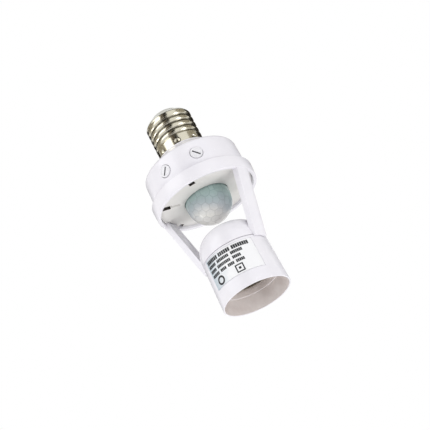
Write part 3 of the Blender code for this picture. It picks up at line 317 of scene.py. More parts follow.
def arc(centre_radius, centre_height, across, along, start, stop, steps):
    """Points along an elliptical arc, by angles from straight outward, upward positive."""
    points = []
    for i in range(steps + 1):
        angle = start + (stop - start) * i / steps
        points.append((centre_radius + across * math.cos(angle), centre_height + along * math.sin(angle)))
    return points


def smooth(piece, angle=32):
    """Shades a piece smooth, apart from edges sharper than this angle."""
    select_only(piece)
    bpy.ops.object.shade_smooth_by_angle(angle=math.radians(angle))


def finish_piece(piece, material, slot, body, *nodes):
    """Gives a piece its material and body, and hides the nodes that it takes the place of. The slot is not
    used.
    """
    piece.data.materials.clear()
    piece.data.materials.append(material)
    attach(piece, body)
    if nodes:
        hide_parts(*nodes)


def rolled(point, low, high):
    """A wall's point pressed inward along the thread's helix between two heights, fading out at both ends."""
    x, y, height = point
    if not low < height < high:
        return point
    wave = (1 - math.cos(TURN * (height - low) / THREAD_PITCH - math.atan2(y, x))) / 2
    fade = min(1, 2 * (height - low) / THREAD_PITCH, 2 * (high - height) / THREAD_PITCH)
    radius = math.hypot(x, y)
    share = (radius - THREAD_DEPTH * wave**2 * fade) / radius
    return Vector((x * share, y * share, height))


def crimped(point, base):
    """A band's point pushed inward where a punch has struck it."""
    x, y, height = point
    turn = math.atan2(y, x) - CRIMP_TURN
    aside = (turn + TURN / CRIMPS / 2) % (TURN / CRIMPS) - TURN / CRIMPS / 2
    away = math.hypot(aside * CAP_BAND_RADIUS, height - base - CRIMP_HEIGHT) / CRIMP_RADIUS
    if away >= 1:
        return point
    radius = math.hypot(x, y)
    share = (radius - CRIMP_DEPTH * (1 - away**2) ** 1.5) / radius
    return Vector((x * share, y * share, height))


def plated_metal(name, crest, root, radii, roughness):
    """Rolled and plated sheet: bright where it is rubbed, dull and brown where dirt and tarnish stay. On the
    cap's thread, the brown in the roots and round the crimps is also painted shade.

    The two radii, from the axis, are where the brown is full and where it ends. It spreads in blotches
    about 2.2 mm wide. The marks that the rolls leave are finer than 0.1 mm, and are drawn 0.7 mm long so that
    they show.
    """
    material, tree, shader = blank_material(name)
    shader.inputs["Metallic"].default_value = 1.0
    place = add(tree, "ShaderNodeTexCoord").outputs["Object"]
    spot = add(tree, "ShaderNodeSeparateXYZ", {0: place})
    flat = add(tree, "ShaderNodeCombineXYZ", {0: spot.outputs[0], 1: spot.outputs[1]})
    reach = add(tree, "ShaderNodeVectorMath", {0: flat.outputs[0]}, operation="LENGTH")
    rubbed = remap(tree, reach.outputs["Value"], *radii)
    stain = noise(tree, place, 2.2 * MM, 4.0)
    # Towards the axis, in a thread's roots and in the crimps, the sheet takes the root colour: tarnish, and
    # on the cap also painted shade.
    clean_and_unshaded = remap(tree, calculate(tree, "MULTIPLY_ADD", stain, 0.5, rubbed), 0.2, 1.1)
    tree.links.new(blend(tree, clean_and_unshaded, root, crest), shader.inputs["Base Color"])
    dull = remap(tree, clean_and_unshaded, first=roughness + 0.12, last=roughness)
    tree.links.new(dull, shader.inputs["Roughness"])
    lines = add(tree, "ShaderNodeMapping", {"Vector": place, "Scale": (1, 1, 6)}).outputs[0]
    emboss(tree, shader, noise(tree, lines, 0.7 * MM, 3.0), 0.1 * MM, 0.05)
    return material


# Nickel plate on brass: warm grey and glossy, bright on the crests, with brown tarnish and painted shade in
# the roots of the thread and in the crimps.
NICKEL = plated_metal("nickel_plated_brass", "#DDD8C6", "#32291F", (12.05 * MM, 12.75 * MM), 0.18)

cap_low, cap_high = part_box("cap_shell")
cap_base, cap_top = cap_low[2], cap_high[2]
thread_low = cap_base + CAP_BAND
thread_high = cap_top - CAP_EDGE
thread_step = THREAD_PITCH / THREAD_ROWS
band_step = CAP_BAND / CAP_BAND_ROWS
rows = int((thread_high - thread_low) / thread_step)
outer_wall = [(CAP_HOLE_RADIUS, cap_top)]
outer_wall += arc(THREAD_RADIUS - CAP_EDGE, thread_high, CAP_EDGE, CAP_EDGE, math.pi / 2, 0, 4)
outer_wall += [(THREAD_RADIUS, thread_high - thread_step * i) for i in range(1, rows)]
outer_wall += [(CAP_BAND_RADIUS, thread_low - band_step * i) for i in range(CAP_BAND_ROWS + 1)]
cap_shell = turned("cap_shell_rolled", outer_wall, CAP_SIDES, ends="open")
for vertex in cap_shell.data.vertices:
    vertex.co = crimped(rolled(vertex.co, thread_low, thread_high), cap_base)


def modify(piece, kind, **settings):
    """Adds a modifier with its settings and applies it."""
    select_only(piece)
    modifier = piece.modifiers.new(kind.lower(), kind)
    for name, value in settings.items():
        setattr(modifier, name, value)
    bpy.ops.object.modifier_apply(modifier=modifier.name)


modify(cap_shell, "SOLIDIFY", thickness=CAP_SHEET, offset=-1)
smooth(cap_shell, 50)
finish_piece(cap_shell, NICKEL, "nickel", "holder", "cap_shell")

# Cap insulator and contact
# A pale moulded cone closes the top of the shell. A brass button sits on its tip, and its shank goes down
# through the cone to the live wire.

INSULATOR_SIDES = 96
TIP_BORE = 1.6 * MM
TIP_FLAT_RADIUS = 7.0 * MM
TIP_CORNER = (1.6 * MM, 1.4 * MM)
TIP_CONE_RADIUS = 10.6 * MM
TIP_CONE_RISE = 1.9 * MM
TIP_RIM_RADIUS = 12.1 * MM
TIP_RIM_RISE = 0.8 * MM
TIP_SPIGOT_RADIUS = 8.3 * MM
TIP_SEAT = 0.3 * MM
CONTACT_SIDES = 64
BUTTON_FLAT_RADIUS = 3.4 * MM
BUTTON_RADIUS = 5.0 * MM
BUTTON_CROWN = 0.9 * MM
BUTTON_HEIGHT = 1.3 * MM
BUTTON_SHANK = 1.3 * MM


def moulded_plastic(
    name, colour, shade, roughness, mottle=14 * MM, grain=0.9 * MM, depth=0.012 * MM, ior=1.5
):
    """Injection moulded plastic: a faint drift between two close colours, and the soft ripple of its surface.

    The mottle is how far apart the melt's drifts of colour lie, the grain is how wide the ripples are, and
    the depth is how deep. A ripple is drawn a little coarser and deeper than it is, so that it shows.
    """
    material, tree, shader = blank_material(name)
    shader.inputs["IOR"].default_value = ior
    place = add(tree, "ShaderNodeTexCoord").outputs["Object"]
    drift = remap(tree, noise(tree, place, mottle, 3.0), 0.35, 0.65)
    tree.links.new(blend(tree, drift, colour, shade), shader.inputs["Base Color"])
    ripple = noise(tree, place, grain, 2.0)
    wear = remap(tree, ripple, first=roughness - 0.04, last=roughness + 0.06)
    tree.links.new(wear, shader.inputs["Roughness"])
    emboss(tree, shader, ripple, depth)
    return material


def round_edges(piece, width, segments, angle, **settings):
    """Bevels the edges that are sharper than this angle."""
    modify(
        piece,
        "BEVEL",
        width=width,
        segments=segments,
        limit_method="ANGLE",
        angle_limit=math.radians(angle),
        **settings,
    )


# Moulded urea resin of the cap's tip: pale warm grey, satin.
TIP_PLASTIC = moulded_plastic("pale_urea_moulding", "#DEDED8", "#D2D1CA", 0.38, grain=0.7 * MM)
# Bright pressed brass, a little brown away from where it rubs.
BRASS = plated_metal("pressed_brass", "#D9B56A", "#8A6A33", (0.0, 4.0 * MM), 0.26)

insulator_low, insulator_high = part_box("cap_insulator")
contact_low, contact_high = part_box("cap_contact")
seat = cap_top + TIP_SEAT
tip_top = insulator_high[2]
tip_profile = [
    (TIP_BORE, tip_top),
    (TIP_FLAT_RADIUS, tip_top),
    *arc(TIP_FLAT_RADIUS, tip_top - TIP_CORNER[1], *TIP_CORNER, math.pi / 2, 0.3, 5),
    (TIP_CONE_RADIUS, seat + TIP_CONE_RISE),
    (TIP_RIM_RADIUS, seat + TIP_RIM_RISE),
    (TIP_RIM_RADIUS, seat),
    (TIP_SPIGOT_RADIUS, seat),
    (TIP_SPIGOT_RADIUS, insulator_low[2]),
    (TIP_BORE, insulator_low[2]),
]
cap_tip = turned("cap_tip_moulding", tip_profile, INSULATOR_SIDES)
round_edges(cap_tip, 0.25 * MM, 3, 35)
smooth(cap_tip)
finish_piece(cap_tip, TIP_PLASTIC, "deck_plastic", "holder", "cap_insulator")

button_top = contact_high[2]
button_side = BUTTON_RADIUS - BUTTON_FLAT_RADIUS
button_profile = [
    *arc(BUTTON_FLAT_RADIUS, button_top - BUTTON_CROWN, button_side, BUTTON_CROWN, math.pi / 2, 0, 5),
    (BUTTON_RADIUS, button_top - BUTTON_HEIGHT),
    (BUTTON_SHANK, button_top - BUTTON_HEIGHT),
    (BUTTON_SHANK, contact_low[2]),
]
cap_button = turned("cap_contact_button", button_profile, CONTACT_SIDES, ends="flat")
smooth(cap_button)
finish_piece(cap_button, BRASS, "brass", "holder", "cap_contact")

# Top cover
# The upper housing is one glossy white moulding: a spigot for the cap, a raised collar, a sloping shoulder
# and a nearly straight side. Two round wells in it hold the knobs, and four fingers snap into the deck.

HOUSING_SIDES = 160
COVER_RADIUS = 27.0 * MM
COVER_SIDE = 13.7 * MM
COVER_DRAFT = math.radians(1.6)
COVER_CORNER = 2.2 * MM
SHOULDER_SLOPE = math.radians(34)
COLLAR_RADIUS = 15.2 * MM
COLLAR_RISE = 0.6 * MM
SPIGOT_RADIUS = 11.4 * MM
SPIGOT_BORE = 9.6 * MM
WALL = 1.8 * MM
GAP = 0.3 * MM
LIP_RADIUS = 25.4 * MM
LIP_BORE = 24.2 * MM
LIP_DEPTH = 2.4 * MM
FINGER_WIDTH = 4.0 * MM
FINGER_ROOT = 1.0 * MM
FINGER_REACH = 4.5 * MM
SNAP_TURNS = [math.radians(angle) for angle in (-122, -66, 66, 122)]
KNOB_RADIUS = 3.3 * MM
WELL_RADIUS = 3.6 * MM
WELL_CHAMFER = 0.35 * MM
WELL_DEPTH = 8 * MM
WELL_CENTRE = 2 * MM

# Glossy ABS in a cool white: it drifts towards lavender and has the faint ripple of a polished mould.
WHITE = moulded_plastic(
    "glossy_white_abs", "#F1EFF4", "#EDEBF1", 0.24, grain=2.4 * MM, depth=0.006 * MM, ior=1.54
)


def boolean(piece, other, operation):
    """Joins another piece to this one, or cuts it away, and removes it."""
    modify(piece, "BOOLEAN", operation=operation, object=other, solver="EXACT")
    bpy.data.objects.remove(other)


def cylinder(name, radius, depth, place, outward, tip_radius=None):
    """A cylinder, or a cone with this tip radius, that stands along a line from its middle."""
    turn = Vector(outward).to_track_quat("Z", "Y").to_euler()
    clear_selection()
    bpy.ops.mesh.primitive_cone_add(
        vertices=64,
        radius1=radius,
        radius2=radius if tip_radius is None else tip_radius,
        depth=depth,
        location=place,
        rotation=turn,
    )
    made = bpy.context.object
    made.name = name
    settle(made)
    return made


def block(name, middle, size):
    """A box of this size round its middle."""
    clear_selection()
    bpy.ops.mesh.primitive_cube_add(size=1, location=middle)
    made = bpy.context.object
    made.name = name
    made.scale = size
    settle(made)
    return made


def box(name, low, high, turn=0.0):
    """A box between two corners, turned round the axis."""
    low, high = Vector(low), Vector(high)
    made = block(name, (low + high) / 2, high - low)
    made.rotation_euler.z = turn
    settle(made)
    return made


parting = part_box("body_frame")[1][2]
cover_base = parting + GAP
side_top = cover_base + COVER_SIDE
side_radius = COVER_RADIUS - COVER_SIDE * math.tan(COVER_DRAFT)
corner_radius = side_radius - COVER_CORNER * (1 - math.sin(SHOULDER_SLOPE))
corner_height = side_top + COVER_CORNER * math.cos(SHOULDER_SLOPE)
collar_height = corner_height + (corner_radius - COLLAR_RADIUS) * math.tan(SHOULDER_SLOPE)
roof = collar_height + COLLAR_RISE
ceiling = roof - WALL
spigot_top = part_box("top_cover")[1][2]
bend = math.pi / 2 - SHOULDER_SLOPE
cover_profile = [
    (SPIGOT_RADIUS, spigot_top),
    (SPIGOT_RADIUS, roof),
    (COLLAR_RADIUS, roof),
    (COLLAR_RADIUS, collar_height),
    *arc(side_radius - COVER_CORNER, side_top, COVER_CORNER, COVER_CORNER, bend, 0, 8),
    (COVER_RADIUS, cover_base),
    (LIP_RADIUS, cover_base),
    (LIP_RADIUS, cover_base - LIP_DEPTH),
    (LIP_BORE, cover_base - LIP_DEPTH),
    (LIP_BORE, cover_base + WALL),
    (LIP_BORE + 0.8 * MM, cover_base + 2 * WALL),
    (side_radius - WALL, side_top - 0.5 * MM),
    (COLLAR_RADIUS + 0.9 * MM, ceiling - 0.3 * MM),
    (SPIGOT_BORE, ceiling - 0.3 * MM),
    (SPIGOT_BORE, spigot_top),
]
cover = turned("housing_cover", cover_profile, HOUSING_SIDES)
round_edges(cover, 0.3 * MM, 3, 40)
for i, turn in enumerate(SNAP_TURNS):
    finger_low = (LIP_BORE, -FINGER_WIDTH / 2, cover_base - FINGER_REACH)
    finger_high = (LIP_RADIUS - 0.1 * MM, FINGER_WIDTH / 2, cover_base - FINGER_ROOT)
    boolean(cover, box(f"snap_finger_{i}", finger_low, finger_high, turn), "UNION")

knob_joints = {}
for joint in frame["record"]["behaviour"]["joints"]:
    if joint["name"].endswith("knob_turn"):
        knob_joints[joint["child"]] = (Vector(joint["pos_m"]), Vector(joint["axis"]))
for i, (centre, outward) in enumerate(knob_joints.values()):
    well = cylinder(f"knob_well_{i}", WELL_RADIUS, WELL_DEPTH, centre - outward * WELL_CENTRE, outward)
    boolean(cover, well, "DIFFERENCE")
    narrow = WELL_RADIUS - WELL_CHAMFER
    mouth = WELL_RADIUS + 2 * WELL_CHAMFER
    rim = cylinder(f"knob_well_rim_{i}", narrow, 3 * WELL_CHAMFER, centre, outward, tip_radius=mouth)
    boolean(cover, rim, "DIFFERENCE")
smooth(cover)
finish_piece(cover, WHITE, "white_plastic", "holder", "top_cover")

# Knobs
# Two small white knobs set the time and the light level. Each is a moulded disc with a dished face and a
# screwdriver slot, and its shaft turns the trimmer behind it.

KNOB_SIDES = 72
KNOB_PROUD = 0.35 * MM
KNOB_RIM = 0.75 * MM
KNOB_DISH = 0.22 * MM
KNOB_DEPTH = 3.2 * MM
KNOB_SHAFT_RADIUS = 1.8 * MM
KNOB_SHAFT = 3.2 * MM
KNOB_SLOT = (4.8 * MM, 0.8 * MM, 1.8 * MM)
KNOB_SLOPES = {"time_knob": math.radians(54), "lux_knob": math.radians(-45)}

# Nylon knob: the same white, a touch duller than the housing.
KNOB_WHITE = moulded_plastic("white_nylon_knob", "#F1F0F3", "#E6E5EA", 0.33, grain=0.6 * MM, depth=0.01 * MM)

for name, (centre, outward) in knob_joints.items():
    knob_profile = [
        (KNOB_RADIUS - KNOB_RIM - 0.25 * MM, KNOB_PROUD - KNOB_DISH),
        (KNOB_RADIUS - KNOB_RIM, KNOB_PROUD),
        (KNOB_RADIUS, KNOB_PROUD),
        (KNOB_RADIUS, -KNOB_DEPTH),
        (KNOB_SHAFT_RADIUS, -KNOB_DEPTH),
        (KNOB_SHAFT_RADIUS, -KNOB_DEPTH - KNOB_SHAFT),
    ]
    knob = turned(name + "_dial", knob_profile, KNOB_SIDES, ends="flat")
    round_edges(knob, 0.18 * MM, 3, 30)
    length, width, depth = KNOB_SLOT
    slot_low = (-length / 2, -width / 2, KNOB_PROUD - depth)
    slot_high = (length / 2, width / 2, 2 * MM)
    boolean(knob, box(name + "_slot", slot_low, slot_high, math.pi / 2 + KNOB_SLOPES[name]), "DIFFERENCE")
    azimuth = Matrix.Rotation(math.atan2(outward.y, outward.x), 4, "Z")
    tilt = Matrix.Rotation(math.acos(outward.z), 4, "Y")
    knob.matrix_world = Matrix.Translation(centre) @ azimuth @ tilt
    settle(knob)
    smooth(knob)
    finish_piece(knob, KNOB_WHITE, "white_plastic", name, name)

# Body frame
# One white moulding carries everything below the cover: the ring of the housing, two straight legs that
# lean in as they go down, and the bell over the lamp socket. A channel in each leg takes a wire.

RING_RIM_RADIUS = 28.9 * MM
RING_SPREAD = 0.4 * MM
RING_BORE = 26.8 * MM
RING_LEDGE = 1.1 * MM
RING_LEDGE_DROP = 1.2 * MM
RIM_HEIGHT = 62.0 * MM
SLEEVE_HEIGHT = 26.3 * MM
SLEEVE_TOP_RADIUS = 18.4 * MM
SLEEVE_FLARE = 0.8 * MM
BELL_STRAIGHT = 2.2 * MM
BELL_RISE = 12.5 * MM
BELL_CROWN_RADIUS = 8.0 * MM
LEG_TURNS = {"right": 0.0, "left": math.radians(190)}
LEG_WIDTH = 8.8 * MM
LEG_DEPTH = 3.6 * MM
LEG_SKIN = 1.0 * MM
LEG_FOOT_HEIGHT = 25.2 * MM
LEG_FOOT = 1.2 * MM
LEG_TOP = 66.9 * MM
LEG_EDGE = 0.45 * MM
CHANNEL_WIDTH = 5.2 * MM
CHANNEL_LOW = 30.6 * MM


def sleeve_radius(height):
    """Outer radius of the lower sleeve, which narrows a little towards its top."""
    return SLEEVE_TOP_RADIUS + SLEEVE_FLARE * (1 - height / SLEEVE_HEIGHT)


leg_foot_radius = sleeve_radius(LEG_FOOT_HEIGHT) + GAP + LEG_FOOT
leg_slope = (RING_RIM_RADIUS - GAP - leg_foot_radius) / (RIM_HEIGHT - LEG_FOOT_HEIGHT)
leg_across = math.sqrt(1 + leg_slope**2)


def leg_radius(height, depth=0.0):
    """Distance from the axis to a line this deep below a leg's outer face, at a height."""
    return leg_foot_radius + (height - LEG_FOOT_HEIGHT) * leg_slope - depth * leg_across


def select_faces(mesh, test):
    """Selects in object mode the faces whose middle and normal pass a test."""
    for part in (*mesh.vertices, *mesh.edges, *mesh.polygons):
        part.select = False
    for face in mesh.polygons:
        face.select = test(face.center, face.normal)


def leaning_bar(name, width, shallow, deep, low, high, top, turn):
    """A bar between two depths below a leg's outer face, leaning up to one height and upright to the top."""
    middle = (leg_radius(low, shallow) + leg_radius(low, deep)) / 2
    size = ((deep - shallow) * leg_across, width, high - low)
    bar = block(name, (middle, 0, (low + high) / 2), size)
    select_faces(bar.data, lambda centre, normal: normal.z > 0.9)
    bpy.ops.object.mode_set(mode="EDIT")
    bpy.ops.transform.translate(value=((high - low) * leg_slope, 0, 0))
    bpy.ops.mesh.extrude_region_move(TRANSFORM_OT_translate={"value": (0, 0, top - high)})
    bpy.ops.object.mode_set(mode="OBJECT")
    bar.rotation_euler.z = turn
    settle(bar)
    return bar


bell_base = SLEEVE_HEIGHT + GAP
bell_shoulder = bell_base + BELL_STRAIGHT


def bell_arc(inset, steps):
    """The bell's rounded shoulder, at this depth below its surface, from its crown down."""
    across = SLEEVE_TOP_RADIUS - BELL_CROWN_RADIUS - inset
    return arc(BELL_CROWN_RADIUS, bell_shoulder, across, BELL_RISE - inset, math.pi / 2, 0, steps)


ring_top_radius = RING_RIM_RADIUS + RING_SPREAD
ring_profile = [
    (RING_BORE - RING_LEDGE, parting),
    (ring_top_radius, parting),
    (RING_RIM_RADIUS, RIM_HEIGHT),
    (RING_BORE, RIM_HEIGHT),
    (RING_BORE, LEG_TOP - RING_LEDGE_DROP),
    (RING_BORE - RING_LEDGE, LEG_TOP - RING_LEDGE_DROP),
]
body = turned("body_moulding", ring_profile, HOUSING_SIDES)
round_edges(body, 0.4 * MM, 3, 30)

bell_profile = [
    *bell_arc(0, 22),
    (SLEEVE_TOP_RADIUS, bell_base),
    (SLEEVE_TOP_RADIUS - WALL, bell_base),
    *reversed(bell_arc(WALL, 12)),
]
bell = turned("bell", bell_profile, HOUSING_SIDES, ends="flat")

for side, turn in LEG_TURNS.items():
    depths = (-2 * MM, LEG_DEPTH)
    leg = leaning_bar(f"leg_{side}", LEG_WIDTH, *depths, LEG_FOOT_HEIGHT, RIM_HEIGHT, LEG_TOP, turn)
    face_profile = [
        (RING_RIM_RADIUS - 1.0 * MM, LEG_TOP + 1 * MM),
        (RING_RIM_RADIUS - 1.0 * MM, RIM_HEIGHT + 0.5 * MM),
        (leg_radius(RIM_HEIGHT), RIM_HEIGHT),
        (leg_foot_radius, LEG_FOOT_HEIGHT),
        (leg_foot_radius, LEG_FOOT_HEIGHT - 1 * MM),
    ]
    boolean(leg, turned("leg_face", face_profile, HOUSING_SIDES, ends="flat"), "INTERSECT")
    clearance_profile = [
        *bell_arc(WALL / 2, 12),
        (SLEEVE_TOP_RADIUS - WALL / 2, bell_base + GAP),
        (sleeve_radius(LEG_FOOT_HEIGHT) + GAP, bell_base + GAP),
        (sleeve_radius(LEG_FOOT_HEIGHT) + GAP, LEG_FOOT_HEIGHT - 2 * MM),
    ]
    boolean(leg, turned("leg_clearance", clearance_profile, HOUSING_SIDES, ends="flat"), "DIFFERENCE")
    round_edges(leg, LEG_EDGE, 3, 50)
    boolean(body, leg, "UNION")
boolean(body, bell, "UNION")
for side, turn in LEG_TURNS.items():
    depths = (LEG_SKIN, LEG_DEPTH + 1 * MM)
    top = LEG_TOP + 2 * MM
    channel = leaning_bar(f"channel_{side}", CHANNEL_WIDTH, *depths, CHANNEL_LOW, RIM_HEIGHT, top, turn)
    boolean(body, channel, "DIFFERENCE")
smooth(body)
finish_piece(body, WHITE, "white_plastic", "holder", "body_frame")

# Leg covers
# A flat strip of the same glossy white plastic snaps into each leg over the wire's channel, flush with the
# leg's inner face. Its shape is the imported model's own.


def dress(node, material):
    """Gives a carried node its own finish and leaves its shape as it is."""
    mesh = frame["nodes"][node].data
    mesh.materials.clear()
    mesh.materials.append(material)


for side in LEG_TURNS:
    dress(f"leg_cover_{side}", WHITE)

# Sensor deck
# A flat plate of warm grey ABS closes the housing from below. It is moulded with the dome's hole, four
# slots where the cover's fingers catch, a shallow groove that leads to two of them, a small key notch, and
# notches for the legs.

DECK_SIDES = 128
DECK_EDGE = 0.15 * MM
DOME_HOLE = 12.7 * MM
SLOT_START = 21.0 * MM
SLOT_WIDTH = 3.4 * MM
GROOVE_WIDTH = 1.8 * MM
GROOVE_DEPTH = 1.1 * MM
GROOVE_START = 15.6 * MM
GROOVE_TURNS = (SNAP_TURNS[0], SNAP_TURNS[-1])
KEY_START = 24.4 * MM
KEY_WIDTH = 2.6 * MM
KEY_TURN = math.radians(172)
DECK_THICKNESS = 1.8 * MM

# Grey ABS straight from a lightly spark-eroded mould: warm, satin and even.
DECK_GREY = moulded_plastic("satin_grey_abs", "#E1DFDC", "#DAD8D4", 0.42, grain=0.5 * MM, depth=0.012 * MM)
# The same ABS on the walls of its slots, painted dark as the shade inside the narrow slots.
SLOT_SHADE = moulded_plastic(
    "grey_abs_painted_slot_shade", "#4A4540", "#34302C", 0.7, mottle=2 * MM, grain=0.3 * MM, depth=0.01 * MM
)

deck_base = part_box("sensor_deck")[0][2]
deck_top = deck_base + DECK_THICKNESS
deck_edge = RING_BORE - GAP
deck_profile = [
    (DOME_HOLE, deck_top),
    (deck_edge, deck_top),
    (deck_edge, deck_base),
    (DOME_HOLE, deck_base),
]
deck = turned("deck_plate", deck_profile, DECK_SIDES)


def cut_deck(name, start, stop, width, top, turn):
    """Cuts a straight opening from below the deck up to a height, between two distances from the axis."""
    low = (start, -width / 2, deck_base - 1 * MM)
    high = (stop, width / 2, top)
    boolean(deck, box(name, low, high, turn), "DIFFERENCE")


past_edge = deck_edge + 1 * MM
past_top = deck_top + 1 * MM
for i, turn in enumerate(SNAP_TURNS):
    cut_deck(f"slot_{i}", SLOT_START, past_edge, SLOT_WIDTH, past_top, turn)
for i, turn in enumerate(GROOVE_TURNS):
    cut_deck(f"groove_{i}", GROOVE_START, SLOT_START + 1 * MM, GROOVE_WIDTH, deck_base + GROOVE_DEPTH, turn)
for side, turn in LEG_TURNS.items():
    notch_start = leg_radius(RIM_HEIGHT, LEG_DEPTH) - GAP
    cut_deck(f"leg_notch_{side}", notch_start, past_edge, LEG_WIDTH + 2 * GAP, past_top, turn)
cut_deck("key_notch", KEY_START, past_edge, KEY_WIDTH, past_top, KEY_TURN)
round_edges(deck, DECK_EDGE, 2, 50)
smooth(deck)
finish_piece(deck, DECK_GREY, "deck_plastic", "holder", "sensor_deck")
deck.data.materials.append(SLOT_SHADE)
# The walls of the snap slots and of the key notch take the painted slot shade.
holes = [(turn, SLOT_START, SLOT_WIDTH) for turn in SNAP_TURNS]
holes.append((KEY_TURN, KEY_START, KEY_WIDTH))
for face in deck.data.polygons:
    for turn, start, width in holes:
        place = Matrix.Rotation(-turn, 3, "Z") @ face.center
        inside = start - GAP < place.x < deck_edge - GAP and abs(place.y) < width / 2 + GAP
        if inside and abs(face.normal.z) < 0.6:
            face.material_index = 1

# Lens dome
# The milky dome is moulded in thin polyethylene. Its flat facets, mostly six-sided and each a small lens,
# gather heat from all round on to the sensor behind it. A straight skirt and a brim hold it in the deck.

DOME_RADIUS = 11.8 * MM
DOME_WALL = 0.8 * MM
DOME_BRIM = 13.8 * MM
FACET_SHARE = 33.3
FACET_EDGE = 0.14 * MM
FACET_TONES = 0.16
# The lean tilts the lens's painted shade towards one side.
LENS_SHADE_LEAN = (0.25, 0.16, 1)
LENS_STOPS = [
    (0.02, "#E2E1DC"),
    (0.15, "#D6D6D4"),
    (0.34, "#B7BEC2"),
    (0.58, "#A8B6B9"),
    (0.78, "#A3B8B6"),
    (0.98, "#9AB0AD"),
]
HOLE_SHADOW = (1.2 * MM, 0.2 * MM)
HOLE_SHADE = 0.68


def lens_plastic(name, shade):
    """Milky lens plastic: its colour follows a leaning height, with a small tone of each facet's own. Its
    blue-grey and teal towards the deck are painted shade of the dark inside that shows through.

    It has a painted shadow just below the deck, where the deck's hole shades it, and a haze with clouds
    1.2 mm wide.
    """
    material, tree, shader = blank_material(name)
    shader.inputs["IOR"].default_value = 1.51
    shader.inputs["Roughness"].default_value = 0.16
    place = add(tree, "ShaderNodeTexCoord").outputs["Object"]
    spot = add(tree, "ShaderNodeVectorMath", {0: place, 1: LENS_SHADE_LEAN}, operation="DOT_PRODUCT")
    rise = remap(tree, spot.outputs["Value"], dome_tip, deck_base)
    tone = add(tree, "ShaderNodeAttribute", attribute_name="facet_tone").outputs["Fac"]
    ramp = add(tree, "ShaderNodeValToRGB", {0: calculate(tree, "MULTIPLY_ADD", tone, FACET_TONES, rise)})
    steps = ramp.color_ramp.elements
    steps.remove(steps[1])
    for where, colour in LENS_STOPS:
        steps.new(where).color = linear(colour)
    steps.remove(steps[0])
    haze = noise(tree, place, 1.2 * MM, 3.0)
    cloud = remap(tree, haze, first=0.9 * shade, last=1.1 * shade)
    height = add(tree, "ShaderNodeSeparateXYZ", {0: place}).outputs[2]
    start, stop = [deck_base - below for below in HOLE_SHADOW]
    both = calculate(tree, "MULTIPLY", cloud, remap(tree, height, start, stop, 1.0, HOLE_SHADE))
    deep = add(tree, "ShaderNodeVectorMath", {0: ramp.outputs[0], "Scale": both}, operation="SCALE")
    tree.links.new(deep.outputs[0], shader.inputs["Base Color"])
    emboss(tree, shader, haze, 0.015 * MM)
    return material


dome_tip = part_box("fresnel_dome")[0][2]
dome_centre = dome_tip + DOME_RADIUS
# Polyethylene: glossy and cloudy, beige at the tip. The blue-grey in the middle and the teal by the deck
# are painted shade of the dark inside that shows through.
LENS = lens_plastic("milky_lens_painted_shade", 1.0)
# The same polyethylene along the seams between the facets, where it is thicker and so a little darker.
LENS_SEAM = lens_plastic("polyethylene_seam", 0.84)

clear_selection()
bpy.ops.mesh.primitive_ico_sphere_add(subdivisions=2, radius=DOME_RADIUS, location=(0, 0, dome_centre))
dome = bpy.context.object
dome.name = "lens_dome"
bpy.ops.object.mode_set(mode="EDIT")
bpy.ops.mesh.select_all(action="SELECT")
bpy.ops.mesh.bevel(offset_type="PERCENT", offset_pct=FACET_SHARE, affect="VERTICES")
bpy.ops.mesh.bisect(plane_co=(0, 0, dome_centre), plane_no=(0, 0, 1), clear_outer=True)
bpy.ops.object.mode_set(mode="OBJECT")
settle(dome)
middle = Vector((0, 0, dome_centre))
for vertex in dome.data.vertices:
    vertex.co = middle + (vertex.co - middle).normalized() * DOME_RADIUS
bpy.ops.object.mode_set(mode="EDIT")
select_open_edges()
bpy.ops.mesh.extrude_region_move(TRANSFORM_OT_translate={"value": (0, 0, deck_top + GAP - dome_centre)})
bpy.ops.mesh.extrude_region_move(TRANSFORM_OT_translate={"value": (0, 0, 0)})
brim_share = DOME_BRIM / DOME_RADIUS
bpy.ops.transform.resize(value=(brim_share, brim_share, 1), center_override=(0, 0, 0))
bpy.ops.mesh.select_all(action="SELECT")
bpy.ops.mesh.normals_make_consistent(inside=False)
bpy.ops.object.mode_set(mode="OBJECT")
tones = dome.data.attributes.new("facet_tone", "FLOAT", "FACE")
for i, tone in enumerate(tones.data):
    tone.value = i * 0.618 % 1 - 0.5
dome.data.materials.append(LENS)
dome.data.materials.append(LENS_SEAM)
round_edges(dome, FACET_EDGE, 1, 5, material=1)
modify(dome, "SOLIDIFY", thickness=DOME_WALL, offset=-1)
smooth(dome, 40)
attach(dome, "holder")
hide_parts("fresnel_dome")

# Lower sleeve
# The sleeve round the lamp is a moulded white tube, hardly flared, whose neck snaps up into the bell.
# Inside, a small ledge marks where its wall thickens, and outside, a shallow bed takes the label.

SLEEVE_NECK_RADIUS = 16.3 * MM
SLEEVE_NECK_BORE = 15.55 * MM
SLEEVE_NECK = 3.0 * MM
LEDGE_HEIGHT = 9.0 * MM
LEDGE = 0.5 * MM
CORE_MOUTH = 11.5 * MM
MOUTH_WALL = 0.9 * MM
LABEL_SHEET = 0.2 * MM
LABEL_LOW = 7.9 * MM
LABEL_HEIGHT = 17.1 * MM
LABEL_START = math.radians(-115)
LABEL_STOP = math.radians(-22)
LABEL_TILT = 1.0 * MM
BED_MARGIN = 0.015

mouth_radius = sleeve_radius(0)
mouth_bore = mouth_radius - MOUTH_WALL
ledge_radius = mouth_radius - WALL - LEDGE
sleeve_profile = [
    (SLEEVE_NECK_RADIUS, SLEEVE_HEIGHT + SLEEVE_NECK),
    (SLEEVE_NECK_RADIUS, SLEEVE_HEIGHT),
    (SLEEVE_TOP_RADIUS, SLEEVE_HEIGHT),
    (mouth_radius, 0),
    (mouth_bore, 0),
    (ledge_radius, LEDGE_HEIGHT),
    (ledge_radius - LEDGE, LEDGE_HEIGHT),
    (SLEEVE_NECK_BORE, CORE_MOUTH + WALL),
    (SLEEVE_NECK_BORE, SLEEVE_HEIGHT + SLEEVE_NECK),
]
sleeve = turned("lamp_sleeve", sleeve_profile, HOUSING_SIDES)
round_edges(sleeve, 0.3 * MM, 3, 30)


